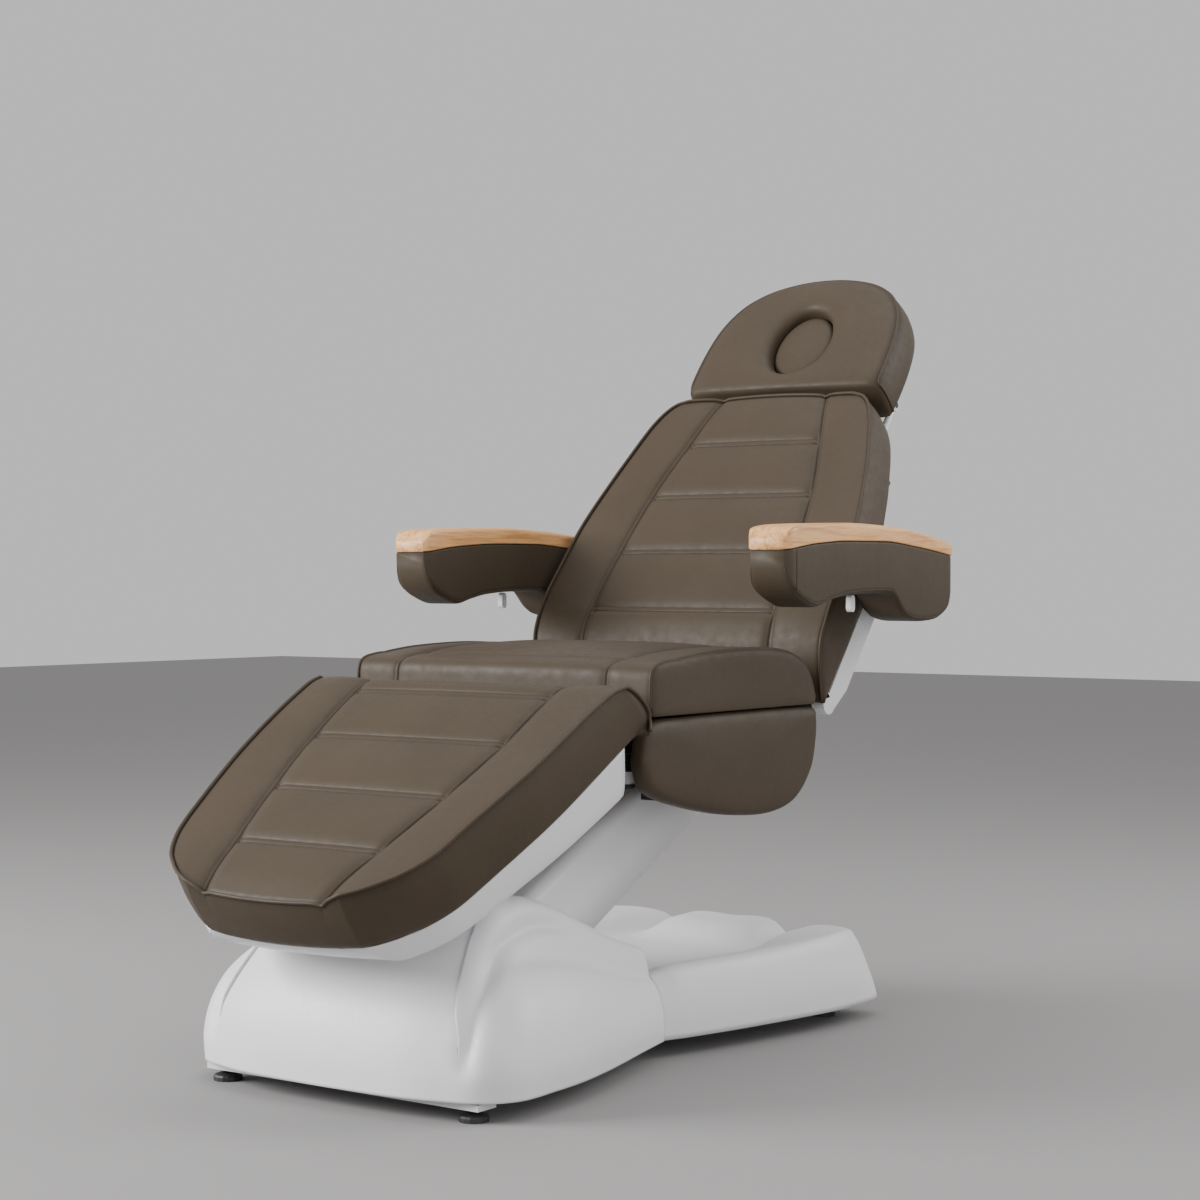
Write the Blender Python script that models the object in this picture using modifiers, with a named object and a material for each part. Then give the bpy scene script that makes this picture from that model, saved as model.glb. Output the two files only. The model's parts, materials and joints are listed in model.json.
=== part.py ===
"""Electric beauty bed: lift base, seat, leg rest, backrest, headrest and armrests.

Metres, +Z up. The sitter faces -Y and the sitter's left is +X. Side-view points are (Y, Z),
measured from the front edge of the seat, and ORIGIN_Y moves the whole bed so that its box is
centred over the origin.
"""
import math

import bmesh
import bpy
import numpy as np
from mathutils import Matrix, Vector

# Placing
ORIGIN_Y = -0.2286
GAP = 0.0003

# Base
BASE_BOTTOM = 0.032
FRAME_LOW, FRAME_HIGH = 0.020, 0.060
FRAME_TUBE, FRAME_WALL = 0.040, 0.003
RAIL_X = 0.130
CROSS_FRONT_Y, CROSS_REAR_Y = -0.433, 0.630
FOOT_FRONT_X, FOOT_REAR_X = 0.255, 0.225
FOOT_RADIUS = 0.0235
COVER_WALL = 0.004
COLUMN_SLOT = 0.165
HUMP_TOP = 0.306
WAIST_Y = 0.110
TRAY_FLOOR = 0.128

# Lift linkage: lower pivot, upper pivot, and the offset of the parallel link
LIFT_LOW = (-0.220, 0.181)
LIFT_HIGH = (0.300, 0.457)
LINK_OFFSET = (-0.030, 0.035)
LIFT_RANGE = math.radians(36.0)
ARM_X, ARM_THICK, ARM_RADIUS = 0.083, 0.010, 0.030
SHAFT_RADIUS, PIN_RADIUS, LINK_SHAFT_RADIUS = 0.015, 0.012, 0.008
BRACKET_X, BRACKET_THICK = 0.116, 0.008
COLUMN_HALF_X, COLUMN_HALF_HEIGHT = 0.150, 0.070

# Cranks and the actuators that drive them
CRANK_PIN = 0.007
ROD_RADIUS = 0.009
LIFT_CRANK, LEG_CRANK, BACK_CRANK = 0.085, 0.075, 0.090
SIDE_ACTUATOR_X = -0.195

# Seat
SEAT_HALF_WIDTH = 0.316
SEAT_UNDERSIDE = 0.578
SEAT_CROWN, SEAT_SIDE_LIFT = 0.012, 0.008
RAIL_IN, RAIL_OUT = 0.232, 0.257
SEAT_FRAME_LOW, SEAT_FRAME_HIGH = 0.526, 0.566
PAD_IN, PAD_OUT = 0.2575, 0.3175

# Leg rest: the seam plane passes LEG_TOP at LEG_TILT below level
LEG_HINGE = (-0.064, 0.557)
LEG_TOP = (-0.180, 0.623)
LEG_TILT = math.radians(32.3)
LEG_RANGE = math.radians(32.3)
LEG_THICK = 0.100
PAN_DEPTH, PAN_TAPER = 0.172, 0.070

# Backrest: the seam plane passes BACK_TOP at BACK_TILT above level
BACK_HINGE = (0.512, 0.584)
BACK_TOP = (0.490, 0.752)
BACK_TILT = math.radians(51.7)
BACK_DOWN, BACK_UP = math.radians(51.7), math.radians(18.0)
BACK_REAR = -0.0975
BAR_IN, BAR_OUT = 0.283, 0.308

# Headrest, in the backrest's slope
HEAD_START = 0.559
HEAD_FACE, HEAD_REAR = -0.004, -0.100
HOLE_CENTRE, HOLE_HALF_X, HOLE_HALF_S = 0.119, 0.064, 0.084
POST_X, POST_RADIUS, POST_OFF = 0.185, 0.007, -0.1285
HEAD_AXIS_S = 0.605

# Armrests
REST_IN, REST_OUT = 0.346, 0.429
REST_PIVOT_S, REST_PIVOT_OFF = 0.165, -0.135
REST_AXLE = 0.012
LEVER_Y = 0.450
REST_STATIONS = (0.175, 0.180, 0.190, 0.212, 0.240, 0.272, 0.310, 0.360, 0.430, 0.500, 0.528, 0.546, 0.564,
                 0.582, 0.605, 0.640, 0.690, 0.720, 0.740, 0.752, 0.758)

for old in list(bpy.data.objects):
    bpy.data.objects.remove(old, do_unlink=True)

PARTS = bpy.data.collections.new("electric_beauty_bed")
CUTTERS = bpy.data.collections.new("cutters")
bpy.context.scene.collection.children.link(PARTS)
bpy.context.scene.collection.children.link(CUTTERS)


def material(name, colour, roughness, metallic=0.0):
    mat = bpy.data.materials.new(name)
    mat.use_nodes = True
    shader = mat.node_tree.nodes["Principled BSDF"]
    shader.inputs["Base Color"].default_value = (*colour, 1.0)
    shader.inputs["Roughness"].default_value = roughness
    shader.inputs["Metallic"].default_value = metallic
    return mat


LEATHER = material("taupe_leatherette", (0.085, 0.068, 0.054), 0.48)
WOOD = material("light_wood", (0.62, 0.37, 0.19), 0.50)
COVER = material("white_moulding", (0.80, 0.80, 0.81), 0.55)
PAINT = material("white_painted_steel", (0.78, 0.78, 0.79), 0.38)
STEEL = material("dark_steel", (0.055, 0.056, 0.060), 0.45, 0.7)
BRIGHT = material("bright_steel", (0.56, 0.57, 0.58), 0.28, 1.0)
BLACK = material("black_plastic", (0.018, 0.018, 0.020), 0.50)
BOARD = material("plywood", (0.42, 0.30, 0.18), 0.65)


# Pivots: empties on the joint axes, which carry the pieces

FRAMES = {}


def pivot(name, parent, point, tilt=0.0, x=0.0):
    """An empty on a joint axis, turned by tilt about X."""
    world = Matrix.Translation((x, point[0] + ORIGIN_Y, point[1])) @ Matrix.Rotation(tilt, 4, "X")
    empty = bpy.data.objects.new(name, None)
    empty.empty_display_size = 0.05
    PARTS.objects.link(empty)
    FRAMES[name] = world
    if parent is not None:
        empty.parent = parent
        empty.matrix_basis = FRAMES[parent.name].inverted() @ world
    else:
        empty.matrix_basis = world
    return empty


def along(start, tilt, run, rise):
    """Side-view point at (run, rise) in a slope that starts at a point."""
    return (start[0] + run * math.cos(tilt) - rise * math.sin(tilt),
            start[1] + run * math.sin(tilt) + rise * math.cos(tilt))


def slope_place(point, start, tilt):
    """Where a side-view point lies in a slope: (run, rise)."""
    dy, dz = point[0] - start[0], point[1] - start[1]
    return (dy * math.cos(tilt) + dz * math.sin(tilt), dz * math.cos(tilt) - dy * math.sin(tilt))


# Building blocks

def add(name, mesh, parent, mat, smooth=None, cutter=False):
    obj = bpy.data.objects.new(name, mesh)
    (CUTTERS if cutter else PARTS).objects.link(obj)
    obj.parent = parent
    if cutter:
        obj.hide_render = True
        obj.display_type = "WIRE"
    else:
        mesh.materials.append(mat)
    if smooth is not None:
        mesh.shade_smooth()
        mesh.set_sharp_from_angle(angle=math.radians(smooth))
    return obj


def finish(bm, name):
    bmesh.ops.recalc_face_normals(bm, faces=bm.faces)
    mesh = bpy.data.meshes.new(name)
    bm.to_mesh(mesh)
    bm.free()
    return mesh


def box_mesh(name, low, high):
    bm = bmesh.new()
    bmesh.ops.create_cube(bm, size=1.0)
    low, high = Vector(low), Vector(high)
    size, centre = high - low, (high + low) / 2
    for v in bm.verts:
        v.co = Vector((v.co.x * size.x, v.co.y * size.y, v.co.z * size.z)) + centre
    return finish(bm, name)


def box(name, parent, mat, low, high, bevel=0.0, cutter=False):
    obj = add(name, box_mesh(name, low, high), parent, mat, cutter=cutter)
    if bevel:
        mod = obj.modifiers.new("edges", "BEVEL")
        mod.width = bevel
        mod.segments = 2
    return obj


def rod(name, parent, mat, start, end, radius, sides=20, cutter=False):
    """Round bar between two points."""
    start, end = Vector(start), Vector(end)
    axis = end - start
    turn = axis.to_track_quat("Z", "Y").to_matrix().to_4x4()
    bm = bmesh.new()
    bmesh.ops.create_cone(bm, cap_ends=True, segments=sides, radius1=radius, radius2=radius,
                          depth=axis.length,
                          matrix=Matrix.Translation((start + end) / 2) @ turn)
    return add(name, finish(bm, name), parent, mat, smooth=30, cutter=cutter)


def loft_mesh(name, rings, closed=False):
    """Skin rings of equal counts: capped at both ends, or closed round into a loop of rings."""
    bm = bmesh.new()
    verts = [[bm.verts.new(p) for p in ring] for ring in rings]
    count = len(rings[0])
    spans = list(zip(verts, verts[1:]))
    if closed:
        spans.append((verts[-1], verts[0]))
    for first, second in spans:
        for i in range(count):
            j = (i + 1) % count
            bm.faces.new((first[i], first[j], second[j], second[i]))
    if not closed:
        bm.faces.new(verts[0])
        bm.faces.new(verts[-1])
    return finish(bm, name)


def rect_tube(name, parent, mat, low, high, axis, wall=FRAME_WALL):
    """Rectangular tube, open at both ends, along axis 0 (X) or 1 (Y)."""
    low, high = Vector(low), Vector(high)
    across = 1 - axis

    def ring(at, inset):
        a0, a1 = low[across] + inset, high[across] - inset
        z0, z1 = low.z + inset, high.z - inset
        points = []
        for a, z in ((a0, z0), (a1, z0), (a1, z1), (a0, z1)):
            p = Vector((0.0, 0.0, z))
            p[across] = a
            p[axis] = at
            points.append(p)
        return points

    rings = [ring(low[axis], 0), ring(high[axis], 0), ring(high[axis], wall), ring(low[axis], wall)]
    return add(name, loft_mesh(name, rings, closed=True), parent, mat)


def circle(centre, radius, count=20):
    return [(centre[0] + radius * math.cos(2 * math.pi * i / count),
             centre[1] + radius * math.sin(2 * math.pi * i / count)) for i in range(count)]


def hull(points):
    """Convex outline round side-view points, in order."""
    points = sorted(set((round(y, 6), round(z, 6)) for y, z in points))

    def half(sequence):
        chain = []
        for p in sequence:
            while len(chain) > 1:
                (ay, az), (by, bz) = chain[-2], chain[-1]
                if (by - ay) * (p[1] - az) - (bz - az) * (p[0] - ay) > 1e-12:
                    break
                chain.pop()
            chain.append(p)
        return chain[:-1]

    return half(points) + half(points[::-1])


def plate(name, parent, mat, outline, x_low, x_high, holes=(), cutter=False):
    """Flat plate: a side-view outline with holes, extruded along X."""
    curve = bpy.data.curves.new(name, "CURVE")
    curve.dimensions = "2D"
    curve.fill_mode = "BOTH"
    curve.extrude = (x_high - x_low) / 2
    for loop in (outline, *holes):
        spline = curve.splines.new("POLY")
        spline.points.add(len(loop) - 1)
        for point, (y, z) in zip(spline.points, loop):
            point.co = (y, z, 0.0, 1.0)
        spline.use_cyclic_u = True
    draft = bpy.data.objects.new(name, curve)
    CUTTERS.objects.link(draft)
    bpy.context.view_layer.update()
    mesh = bpy.data.meshes.new_from_object(draft.evaluated_get(bpy.context.evaluated_depsgraph_get()))
    bpy.data.objects.remove(draft, do_unlink=True)
    upright = Matrix(((0, 0, 1, 0), (1, 0, 0, 0), (0, 1, 0, 0), (0, 0, 0, 1)))
    mesh.transform(Matrix.Translation(((x_low + x_high) / 2, 0, 0)) @ upright)
    bm = bmesh.new()
    bm.from_mesh(mesh)
    bmesh.ops.remove_doubles(bm, verts=bm.verts, dist=1e-6)
    bpy.data.meshes.remove(mesh)
    return add(name, finish(bm, name), parent, mat, smooth=30, cutter=cutter)


def boolean(obj, tool, operation):
    if tool.name not in CUTTERS.objects:
        PARTS.objects.unlink(tool)
        CUTTERS.objects.link(tool)
    tool.hide_render = True
    tool.display_type = "WIRE"
    mod = obj.modifiers.new(tool.name, "BOOLEAN")
    mod.operation = operation
    mod.object = tool
    mod.solver = "EXACT"


def join(obj, *tools):
    for tool in tools:
        boolean(obj, tool, "UNION")


def cut(obj, *tools):
    for tool in tools:
        boolean(obj, tool, "DIFFERENCE")


def through(points):
    """Smooth function through (t, value) points, rising or falling without overshoot."""
    t = np.array([p[0] for p in points], float)
    y = np.array([p[1] for p in points], float)
    step = np.diff(t)
    rise = np.diff(y) / step
    slope = np.zeros(len(t))
    slope[0], slope[-1] = rise[0], rise[-1]
    for i in range(1, len(t) - 1):
        if rise[i - 1] * rise[i] > 0:
            w1, w2 = 2 * step[i] + step[i - 1], step[i] + 2 * step[i - 1]
            slope[i] = (w1 + w2) / (w1 / rise[i - 1] + w2 / rise[i])

    def value(at):
        at = min(max(at, t[0]), t[-1])
        i = min(int(np.searchsorted(t, at, side="right")) - 1, len(step) - 1)
        f = (at - t[i]) / step[i]
        h00, h10 = 2 * f**3 - 3 * f**2 + 1, f**3 - 2 * f**2 + f
        h01, h11 = 3 * f**2 - 2 * f**3, f**3 - f**2
        return float(h00 * y[i] + h10 * step[i] * slope[i] + h01 * y[i + 1] + h11 * step[i] * slope[i + 1])

    return value


# Soft forms

SEAM_WIDTH = 0.009
SEAM_DEPTH = 0.005
PUFF = 0.005


def sewn(distance):
    """Depth of the sewn channel at a distance from its seam."""
    return -SEAM_DEPTH * math.exp(-(distance / SEAM_WIDTH) ** 2)


def sewn_panel(half_width, seam_x, ends, seams, centre_rise, edge_rise):
    """Top surface of a channelled cushion: (u, s) gives (x, s, rise).

    The long seams run at seam_x(s), the cross seams at the places in seams between them, and the
    bolsters outside them fall from centre_rise(s) to edge_rise(s) at the piping.
    """
    stops = [ends[0], *seams, ends[1]]

    def surface(u, s):
        w, q = half_width(s), seam_x(s)
        side = abs(u)
        x = q * side / 0.63 if side <= 0.63 else q + (w - q) * (side - 0.63) / 0.37
        rise = centre_rise(s)
        if side > 0.63:
            e = (x - q) / (w - q)
            rise += (edge_rise(s) - rise) * e ** 2.2 + 0.8 * PUFF * math.sin(math.pi * e)
        else:
            for a, b in zip(stops, stops[1:]):
                if a <= s <= b:
                    swell = max(0.0, math.sin(math.pi * (s - a) / (b - a))) ** 0.6
                    rise += PUFF * swell * math.cos(1.2 * x / q)
            fade = min(1.0, max(0.0, (q - x) / 0.02))
            rise += fade * min((sewn(s - seam) for seam in seams), default=0.0)
        rise += sewn(x - q)
        return math.copysign(x, u), s, rise

    return surface


def rows_between(low, high, seams, reach):
    """Places of the rows of a channelled cushion: three at each seam, one between."""
    rows = {low, high}
    stops = [low, *seams, high]
    for seam in seams:
        rows.update((seam - reach, seam, seam + reach))
    for a, b in zip(stops, stops[1:]):
        rows.add((a + b) / 2)
    return sorted(rows)


COLUMNS = (0.0, 0.22, 0.44, 0.57, 0.63, 0.69, 0.80, 0.91, 1.0)


def stuffed(name, parent, mat, grid, bottom, rings, tail_rings=None):
    """Cushion from its top grid of (x, y, z), side rings and a flat underside.

    Each ring is (outward, fall): how far it stands out from the piping, and its share of the fall
    from the piping to the underside. tail_rings replaces rings along the first row.
    """
    bm = bmesh.new()
    top = [[bm.verts.new(p) for p in row] for row in grid]
    for a, b in zip(top, top[1:]):
        for i in range(len(a) - 1):
            bm.faces.new((a[i], a[i + 1], b[i + 1], b[i]))
    edge = top[0] + [row[-1] for row in top[1:]] + top[-1][-2::-1] + [row[0] for row in top[-2:0:-1]]
    tail, corners = set(top[0][1:-1]), (top[0][0], top[0][-1])
    way = math.copysign(1.0, grid[0][0][1] - grid[-1][0][1])
    count = len(edge)
    outward = []
    for i, v in enumerate(edge):
        t = edge[(i + 1) % count].co - edge[i - 1].co
        outward.append(Vector((t.y, -t.x, 0)).normalized())
    if sum(o.dot(v.co - edge[0].co) for o, v in zip(outward, edge)) < 0:
        outward = [-o for o in outward]
    last = edge
    for level in range(len(rings)):
        ring = []
        for v, o in zip(edge, outward):
            out, fall = (tail_rings if tail_rings and v in tail else rings)[level]
            p = v.co + o * out
            if tail_rings and v in corners:
                p = v.co + Vector((math.copysign(out, v.co.x), way * tail_rings[level][0], 0))
            p.z = v.co.z + (bottom - v.co.z) * fall
            ring.append(bm.verts.new(p))
        for i in range(count):
            j = (i + 1) % count
            bm.faces.new((last[i], last[j], ring[j], ring[i]))
        last = ring
    bm.faces.new(last)
    return add(name, finish(bm, name), parent, mat, smooth=50)


def outline_pad(name, parent, mat, outline, levels):
    """Pad from a side-view outline: each level is (x, inset of the outline, scale of the outline)."""
    pts = [Vector(p) for p in outline]
    count = len(pts)
    middle = sum(pts, Vector((0, 0))) / count
    inward = []
    for i in range(count):
        t = (pts[(i + 1) % count] - pts[i - 1]).normalized()
        inward.append(Vector((-t.y, t.x)))
    rings = []
    for x, inset, scale in levels:
        rings.append([(x, *(middle + (p + n * inset - middle) * scale)) for p, n in zip(pts, inward)])
    return add(name, loft_mesh(name, rings), parent, mat, smooth=50)


def resample(points, count):
    """Even points along a closed smooth outline."""
    pts = [Vector(p) for p in points]
    n = len(pts)
    fine = []
    for i in range(n):
        p0, p1, p2, p3 = pts[i - 1], pts[i], pts[(i + 1) % n], pts[(i + 2) % n]
        for k in range(12):
            f = k / 12
            fine.append(0.5 * (2 * p1 + (p2 - p0) * f + (2 * p0 - 5 * p1 + 4 * p2 - p3) * f * f
                               + (3 * p1 - p0 - 3 * p2 + p3) * f ** 3))
    lengths = [0.0]
    for a, b in zip(fine, fine[1:] + fine[:1]):
        lengths.append(lengths[-1] + (b - a).length)
    out = []
    for k in range(count):
        at = lengths[-1] * k / count
        i = int(np.searchsorted(lengths, at, side="right")) - 1
        a, b = fine[i], fine[(i + 1) % len(fine)]
        out.append(a + (b - a) * ((at - lengths[i]) / (lengths[i + 1] - lengths[i])))
    return out


def rounded_section(x_mid, half_x, z_low, z_high, y, count=16, power=5.0):
    """Ring of a rounded bar at a station along Y."""
    mid, half_z = (z_low + z_high) / 2, (z_high - z_low) / 2
    ring = []
    for i in range(count):
        a = 2 * math.pi * (i + 0.5) / count
        c, s = math.cos(a), math.sin(a)
        k = (abs(c) ** power + abs(s) ** power) ** (-1 / power)
        ring.append((x_mid + half_x * c * k, y, mid + half_z * s * k))
    return ring


# Cranks and actuators

def crank(name, parent, mat, angle, radius, x, hub_radius):
    """Lever plate with its pin, from the axis at the parent's origin."""
    end = (radius * math.cos(angle), radius * math.sin(angle))
    lever = plate(name + "_lever", parent, mat, hull(circle((0, 0), hub_radius) + circle(end, 0.016)),
                  x + 0.0100, x + 0.0180)
    pin = rod(name + "_pin", parent, mat, (x - 0.008, *end), (x + 0.013, *end), CRANK_PIN, 16)
    return lever, pin


def slotted_rod(name, parent, mat, x, pin_y, rod_z, tail_y, half_slot_y, half_slot_z):
    """Actuator rod along Y with a slotted plate round the crank pin."""
    half_y, half_z = half_slot_y + 0.010, half_slot_z + 0.010
    frame = [(pin_y - half_y, rod_z - half_z), (pin_y + half_y, rod_z - half_z),
             (pin_y + half_y, rod_z + half_z), (pin_y - half_y, rod_z + half_z)]
    end = half_slot_z - half_slot_y
    slot = hull(circle((pin_y, rod_z - end), half_slot_y) + circle((pin_y, rod_z + end), half_slot_y))
    head = plate(name, parent, mat, frame, x - 0.006, x + 0.006, holes=[slot])
    start = pin_y + math.copysign(half_y - 0.004, tail_y - pin_y)
    join(head, rod(name + "_bar", parent, mat, (x, start, rod_z), (x, tail_y, rod_z), ROD_RADIUS))
    return head


def actuator(name, parent, mat, x, mouth_y, rear_y, rod_z, motor, bore):
    """Actuator body: tube, gearbox block and motor, with a blind bore for the rod."""
    way = math.copysign(1.0, rear_y - mouth_y)
    body = rod(name, parent, mat, (x, mouth_y, rod_z), (x, rear_y, rod_z), 0.022)
    block_y = sorted((rear_y - way * 0.005, rear_y + way * 0.050))
    block = box(name + "_gearbox", parent, mat, (x - 0.0235, block_y[0], rod_z + motor[2]),
                (x + 0.0235, block_y[1], rod_z + 0.0235))
    join(body, block, rod(name + "_motor", parent, mat, motor[0], motor[1], 0.019))
    cut(body, rod(name + "_bore", parent, mat, (x, mouth_y - way * 0.01, rod_z),
                  (x, mouth_y + way * bore, rod_z), ROD_RADIUS + 0.0008, cutter=True))
    return body


SIDES = (("left", 1), ("right", -1))


def spread(side, low, high):
    """X span on one side of the bed."""
    return sorted((side * low, side * high))


# Base

root = pivot("bed_origin", None, (0.0, 0.0))


def base_frame():
    half = FRAME_TUBE / 2
    front = rect_tube("base_crossbar_front", root, PAINT, (-0.19, CROSS_FRONT_Y - half, FRAME_LOW),
                      (0.19, CROSS_FRONT_Y + half, FRAME_HIGH), 0)
    join(front, box("foot_lug", root, PAINT, (-0.28, CROSS_FRONT_Y - 0.022, FRAME_LOW - 0.0005),
                    (0.28, CROSS_FRONT_Y + 0.022, FRAME_LOW + 0.0095)))
    rect_tube("base_crossbar_rear", root, PAINT, (-0.25, CROSS_REAR_Y - half, FRAME_LOW),
              (0.25, CROSS_REAR_Y + half, FRAME_HIGH), 0)
    for name, side in SIDES:
        x0, x1 = spread(side, RAIL_X - half, RAIL_X + half)
        rect_tube("base_rail_" + name, root, PAINT, (x0, CROSS_FRONT_Y + half + 0.0022, FRAME_LOW),
                  (x1, CROSS_REAR_Y - half - GAP, FRAME_HIGH), 1)
        feet = [(LIFT_LOW[0] + dy, FRAME_HIGH + GAP + dz) for dy in (-0.11, 0.12) for dz in (0, 0.015)]
        link = (LIFT_LOW[0] + LINK_OFFSET[0], LIFT_LOW[1] + LINK_OFFSET[1])
        outline = hull(feet + circle(LIFT_LOW, 0.036) + circle(link, 0.018))
        x0, x1 = spread(side, BRACKET_X - BRACKET_THICK / 2, BRACKET_X + BRACKET_THICK / 2)
        plate("lift_bracket_" + name, root, STEEL, outline, x0, x1,
              holes=[circle(LIFT_LOW, SHAFT_RADIUS + 0.0005)])
    reach = BRACKET_X - BRACKET_THICK / 2 - GAP
    rod("link_shaft_lower", root, BRIGHT, (-reach, *link), (reach, *link), LINK_SHAFT_RADIUS)


def base_feet():
    profile = [(0.0, 0.0192), (0.007, 0.0192), (0.007, 0.0135), (0.013, 0.0125),
               (0.0215, 0.0095), (FOOT_RADIUS, 0.0065), (FOOT_RADIUS, 0.0), (0.0, 0.0)]
    for end, y, x in (("front", CROSS_FRONT_Y, FOOT_FRONT_X), ("rear", CROSS_REAR_Y, FOOT_REAR_X)):
        for name, side in SIDES:
            axis = pivot("foot_axis_%s_%s" % (end, name), root, (y, 0.0), x=side * x)
            bm = bmesh.new()
            verts = [bm.verts.new((r, 0, z)) for r, z in profile]
            for a, b in zip(verts, verts[1:]):
                bm.edges.new((a, b))
            mesh = bpy.data.meshes.new("foot")
            bm.to_mesh(mesh)
            bm.free()
            foot = add("foot_%s_%s" % (end, name), mesh, axis, BLACK)
            turn = foot.modifiers.new("turned", "SCREW")
            turn.steps = turn.render_steps = 16
            turn.use_merge_vertices = True
            turn.merge_threshold = 0.0001


def shell(name, parent, mat, grid, wall, mirror=True):
    """Moulded cover from a half grid of points, mirrored about X and given a wall inwards."""
    bm = bmesh.new()
    verts = [[bm.verts.new(p) for p in row] for row in grid]
    for a, b in zip(verts, verts[1:]):
        for i in range(len(a) - 1):
            bm.faces.new((a[i], a[i + 1], b[i + 1], b[i]))
    mesh = bpy.data.meshes.new(name)
    bm.to_mesh(mesh)
    bm.free()
    obj = add(name, mesh, parent, mat, smooth=40)
    if mirror:
        mod = obj.modifiers.new("mirror", "MIRROR")
        mod.use_axis[0] = True
        mod.merge_threshold = 0.0001
    solid = obj.modifiers.new("wall", "SOLIDIFY")
    solid.thickness = wall
    solid.offset = -1.0
    solid.use_even_offset = True
    return obj


def front_cover():
    """Skirt from the floor outline up to the column slot, with a ridge and a fender at the sides."""
    low = [(0.0, -0.496), (0.085, -0.494), (0.160, -0.489), (0.224, -0.475), (0.283, -0.452),
           (0.318, -0.397), (0.3165, -0.310), (0.3107, -0.242), (0.297, -0.168), (0.277, -0.087),
           (0.251, 0.006), (0.224, WAIST_Y - 0.0015)]
    rim = [(0.0, -0.300, HUMP_TOP), (0.070, -0.300, HUMP_TOP), (0.125, -0.297, HUMP_TOP),
           (0.152, -0.288, HUMP_TOP), (COLUMN_SLOT, -0.272, HUMP_TOP), (COLUMN_SLOT, -0.254, 0.306),
           (COLUMN_SLOT, -0.228, 0.304), (COLUMN_SLOT, -0.190, 0.294), (COLUMN_SLOT, -0.130, 0.273),
           (COLUMN_SLOT, -0.060, 0.243), (COLUMN_SLOT, 0.025, 0.208),
           (COLUMN_SLOT, WAIST_Y - 0.0015, 0.182)]
    fender = (0.0, 0.0, 0.0, 0.15, 0.5, 0.85, 1.0, 1.0, 1.0, 1.0, 1.0, 1.0)
    full = (1.0, 1.0, 0.8, 0.35, 0.0, 0.0, 0.0, 0.0, 0.0, 0.0, 0.0, 0.0)
    plain = [(0, 0), (0.02, 0.16), (0.07, 0.32), (0.15, 0.46), (0.27, 0.60), (0.40, 0.73),
             (0.54, 0.84), (0.70, 0.93), (0.87, 0.99), (1.0, 1.0), (1.0, 0.97)]
    nose = [(0, 0), (-0.03, 0.16), (-0.02, 0.32), (0.03, 0.46), (0.13, 0.60), (0.28, 0.73),
            (0.46, 0.84), (0.66, 0.93), (0.86, 0.99), (1.0, 1.0), (1.0, 0.97)]
    ridged = [(0, 0), (-0.03, 0.16), (0.02, 0.34), (0.14, 0.50), (0.32, 0.62), (0.50, 0.70),
              (0.60, 0.86), (0.72, 0.98), (0.88, 1.01), (1.0, 0.98), (1.0, 0.95)]
    grid = []
    for (bx, by), (tx, ty, tz), g, n in zip(low, rim, fender, full):
        row = []
        for (a0, b0), (a1, b1), (a2, _) in zip(plain, ridged, nose):
            a, b = a0 + (a1 - a0) * g + (a2 - a0) * n, b0 + (b1 - b0) * g
            row.append((bx + (tx - bx) * a, by + (ty - by) * a, BASE_BOTTOM + (tz - BASE_BOTTOM) * b))
        grid.append(row)
    return shell("front_cover", root, COVER, grid, COVER_WALL)


def rear_cover_height(y):
    """Share of the full height along the sloping tail of the rear cover."""
    return through([(0.0, 1.0), (0.66, 1.0), (0.690, 0.95), (0.700, 0.86), (0.708, 0.68), (0.713, 0.42),
                    (0.717, 0.08)])(y)


def rear_cover():
    """Low tray behind the column: side lobes, a flat floor and a middle lobe at the tail."""
    width = through([(0.11, 0.224), (0.183, 0.248), (0.298, 0.275), (0.422, 0.299), (0.5645, 0.317),
                     (0.649, 0.314), (0.70, 0.300), (0.717, 0.290)])
    lobe = through([(0.11, 0.150), (0.20, 0.154), (0.40, 0.158), (0.60, 0.166), (0.717, 0.166)])
    middle = through([(0.11, TRAY_FLOOR), (0.50, TRAY_FLOOR), (0.60, 0.162), (0.717, 0.164)])
    broad = through([(0.11, 1.0), (0.35, 1.0), (0.58, 2.0), (0.717, 2.0)])
    rounding = through([(0.11, 0.0), (0.58, 0.0), (0.66, 0.6), (0.70, 1.0), (0.717, 1.0)])
    grid = []
    for y in (WAIST_Y + 0.0015, 0.16, 0.25, 0.35, 0.45, 0.52, 0.58, 0.630, 0.665, 0.690, 0.700, 0.708,
              0.713, 0.717):
        w, top, mid, k, r = width(y), lobe(y), middle(y), broad(y), rounding(y)
        row = [(w, BASE_BOTTOM), (w + 0.002 - 0.012 * r, 0.075 - 0.005 * r),
               (w - 0.004 - 0.022 * r, 0.115 - 0.010 * r),
               (w - 0.018 - 0.028 * r, top - 0.008 - 0.024 * r), (w - 0.040 - 0.028 * r, top - 0.010 * r),
               (w - 0.066 * k, top - 0.008), (w - 0.090 * k, TRAY_FLOOR + 0.004),
               (0.62 * (w - 0.09 * k), mid), (0.0, mid)]
        share = rear_cover_height(y)
        grid.append([(x, y, BASE_BOTTOM + (z - BASE_BOTTOM) * share) for x, z in reversed(row)])
    cover = shell("rear_cover", root, COVER, grid, COVER_WALL)
    return cover, middle


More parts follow.
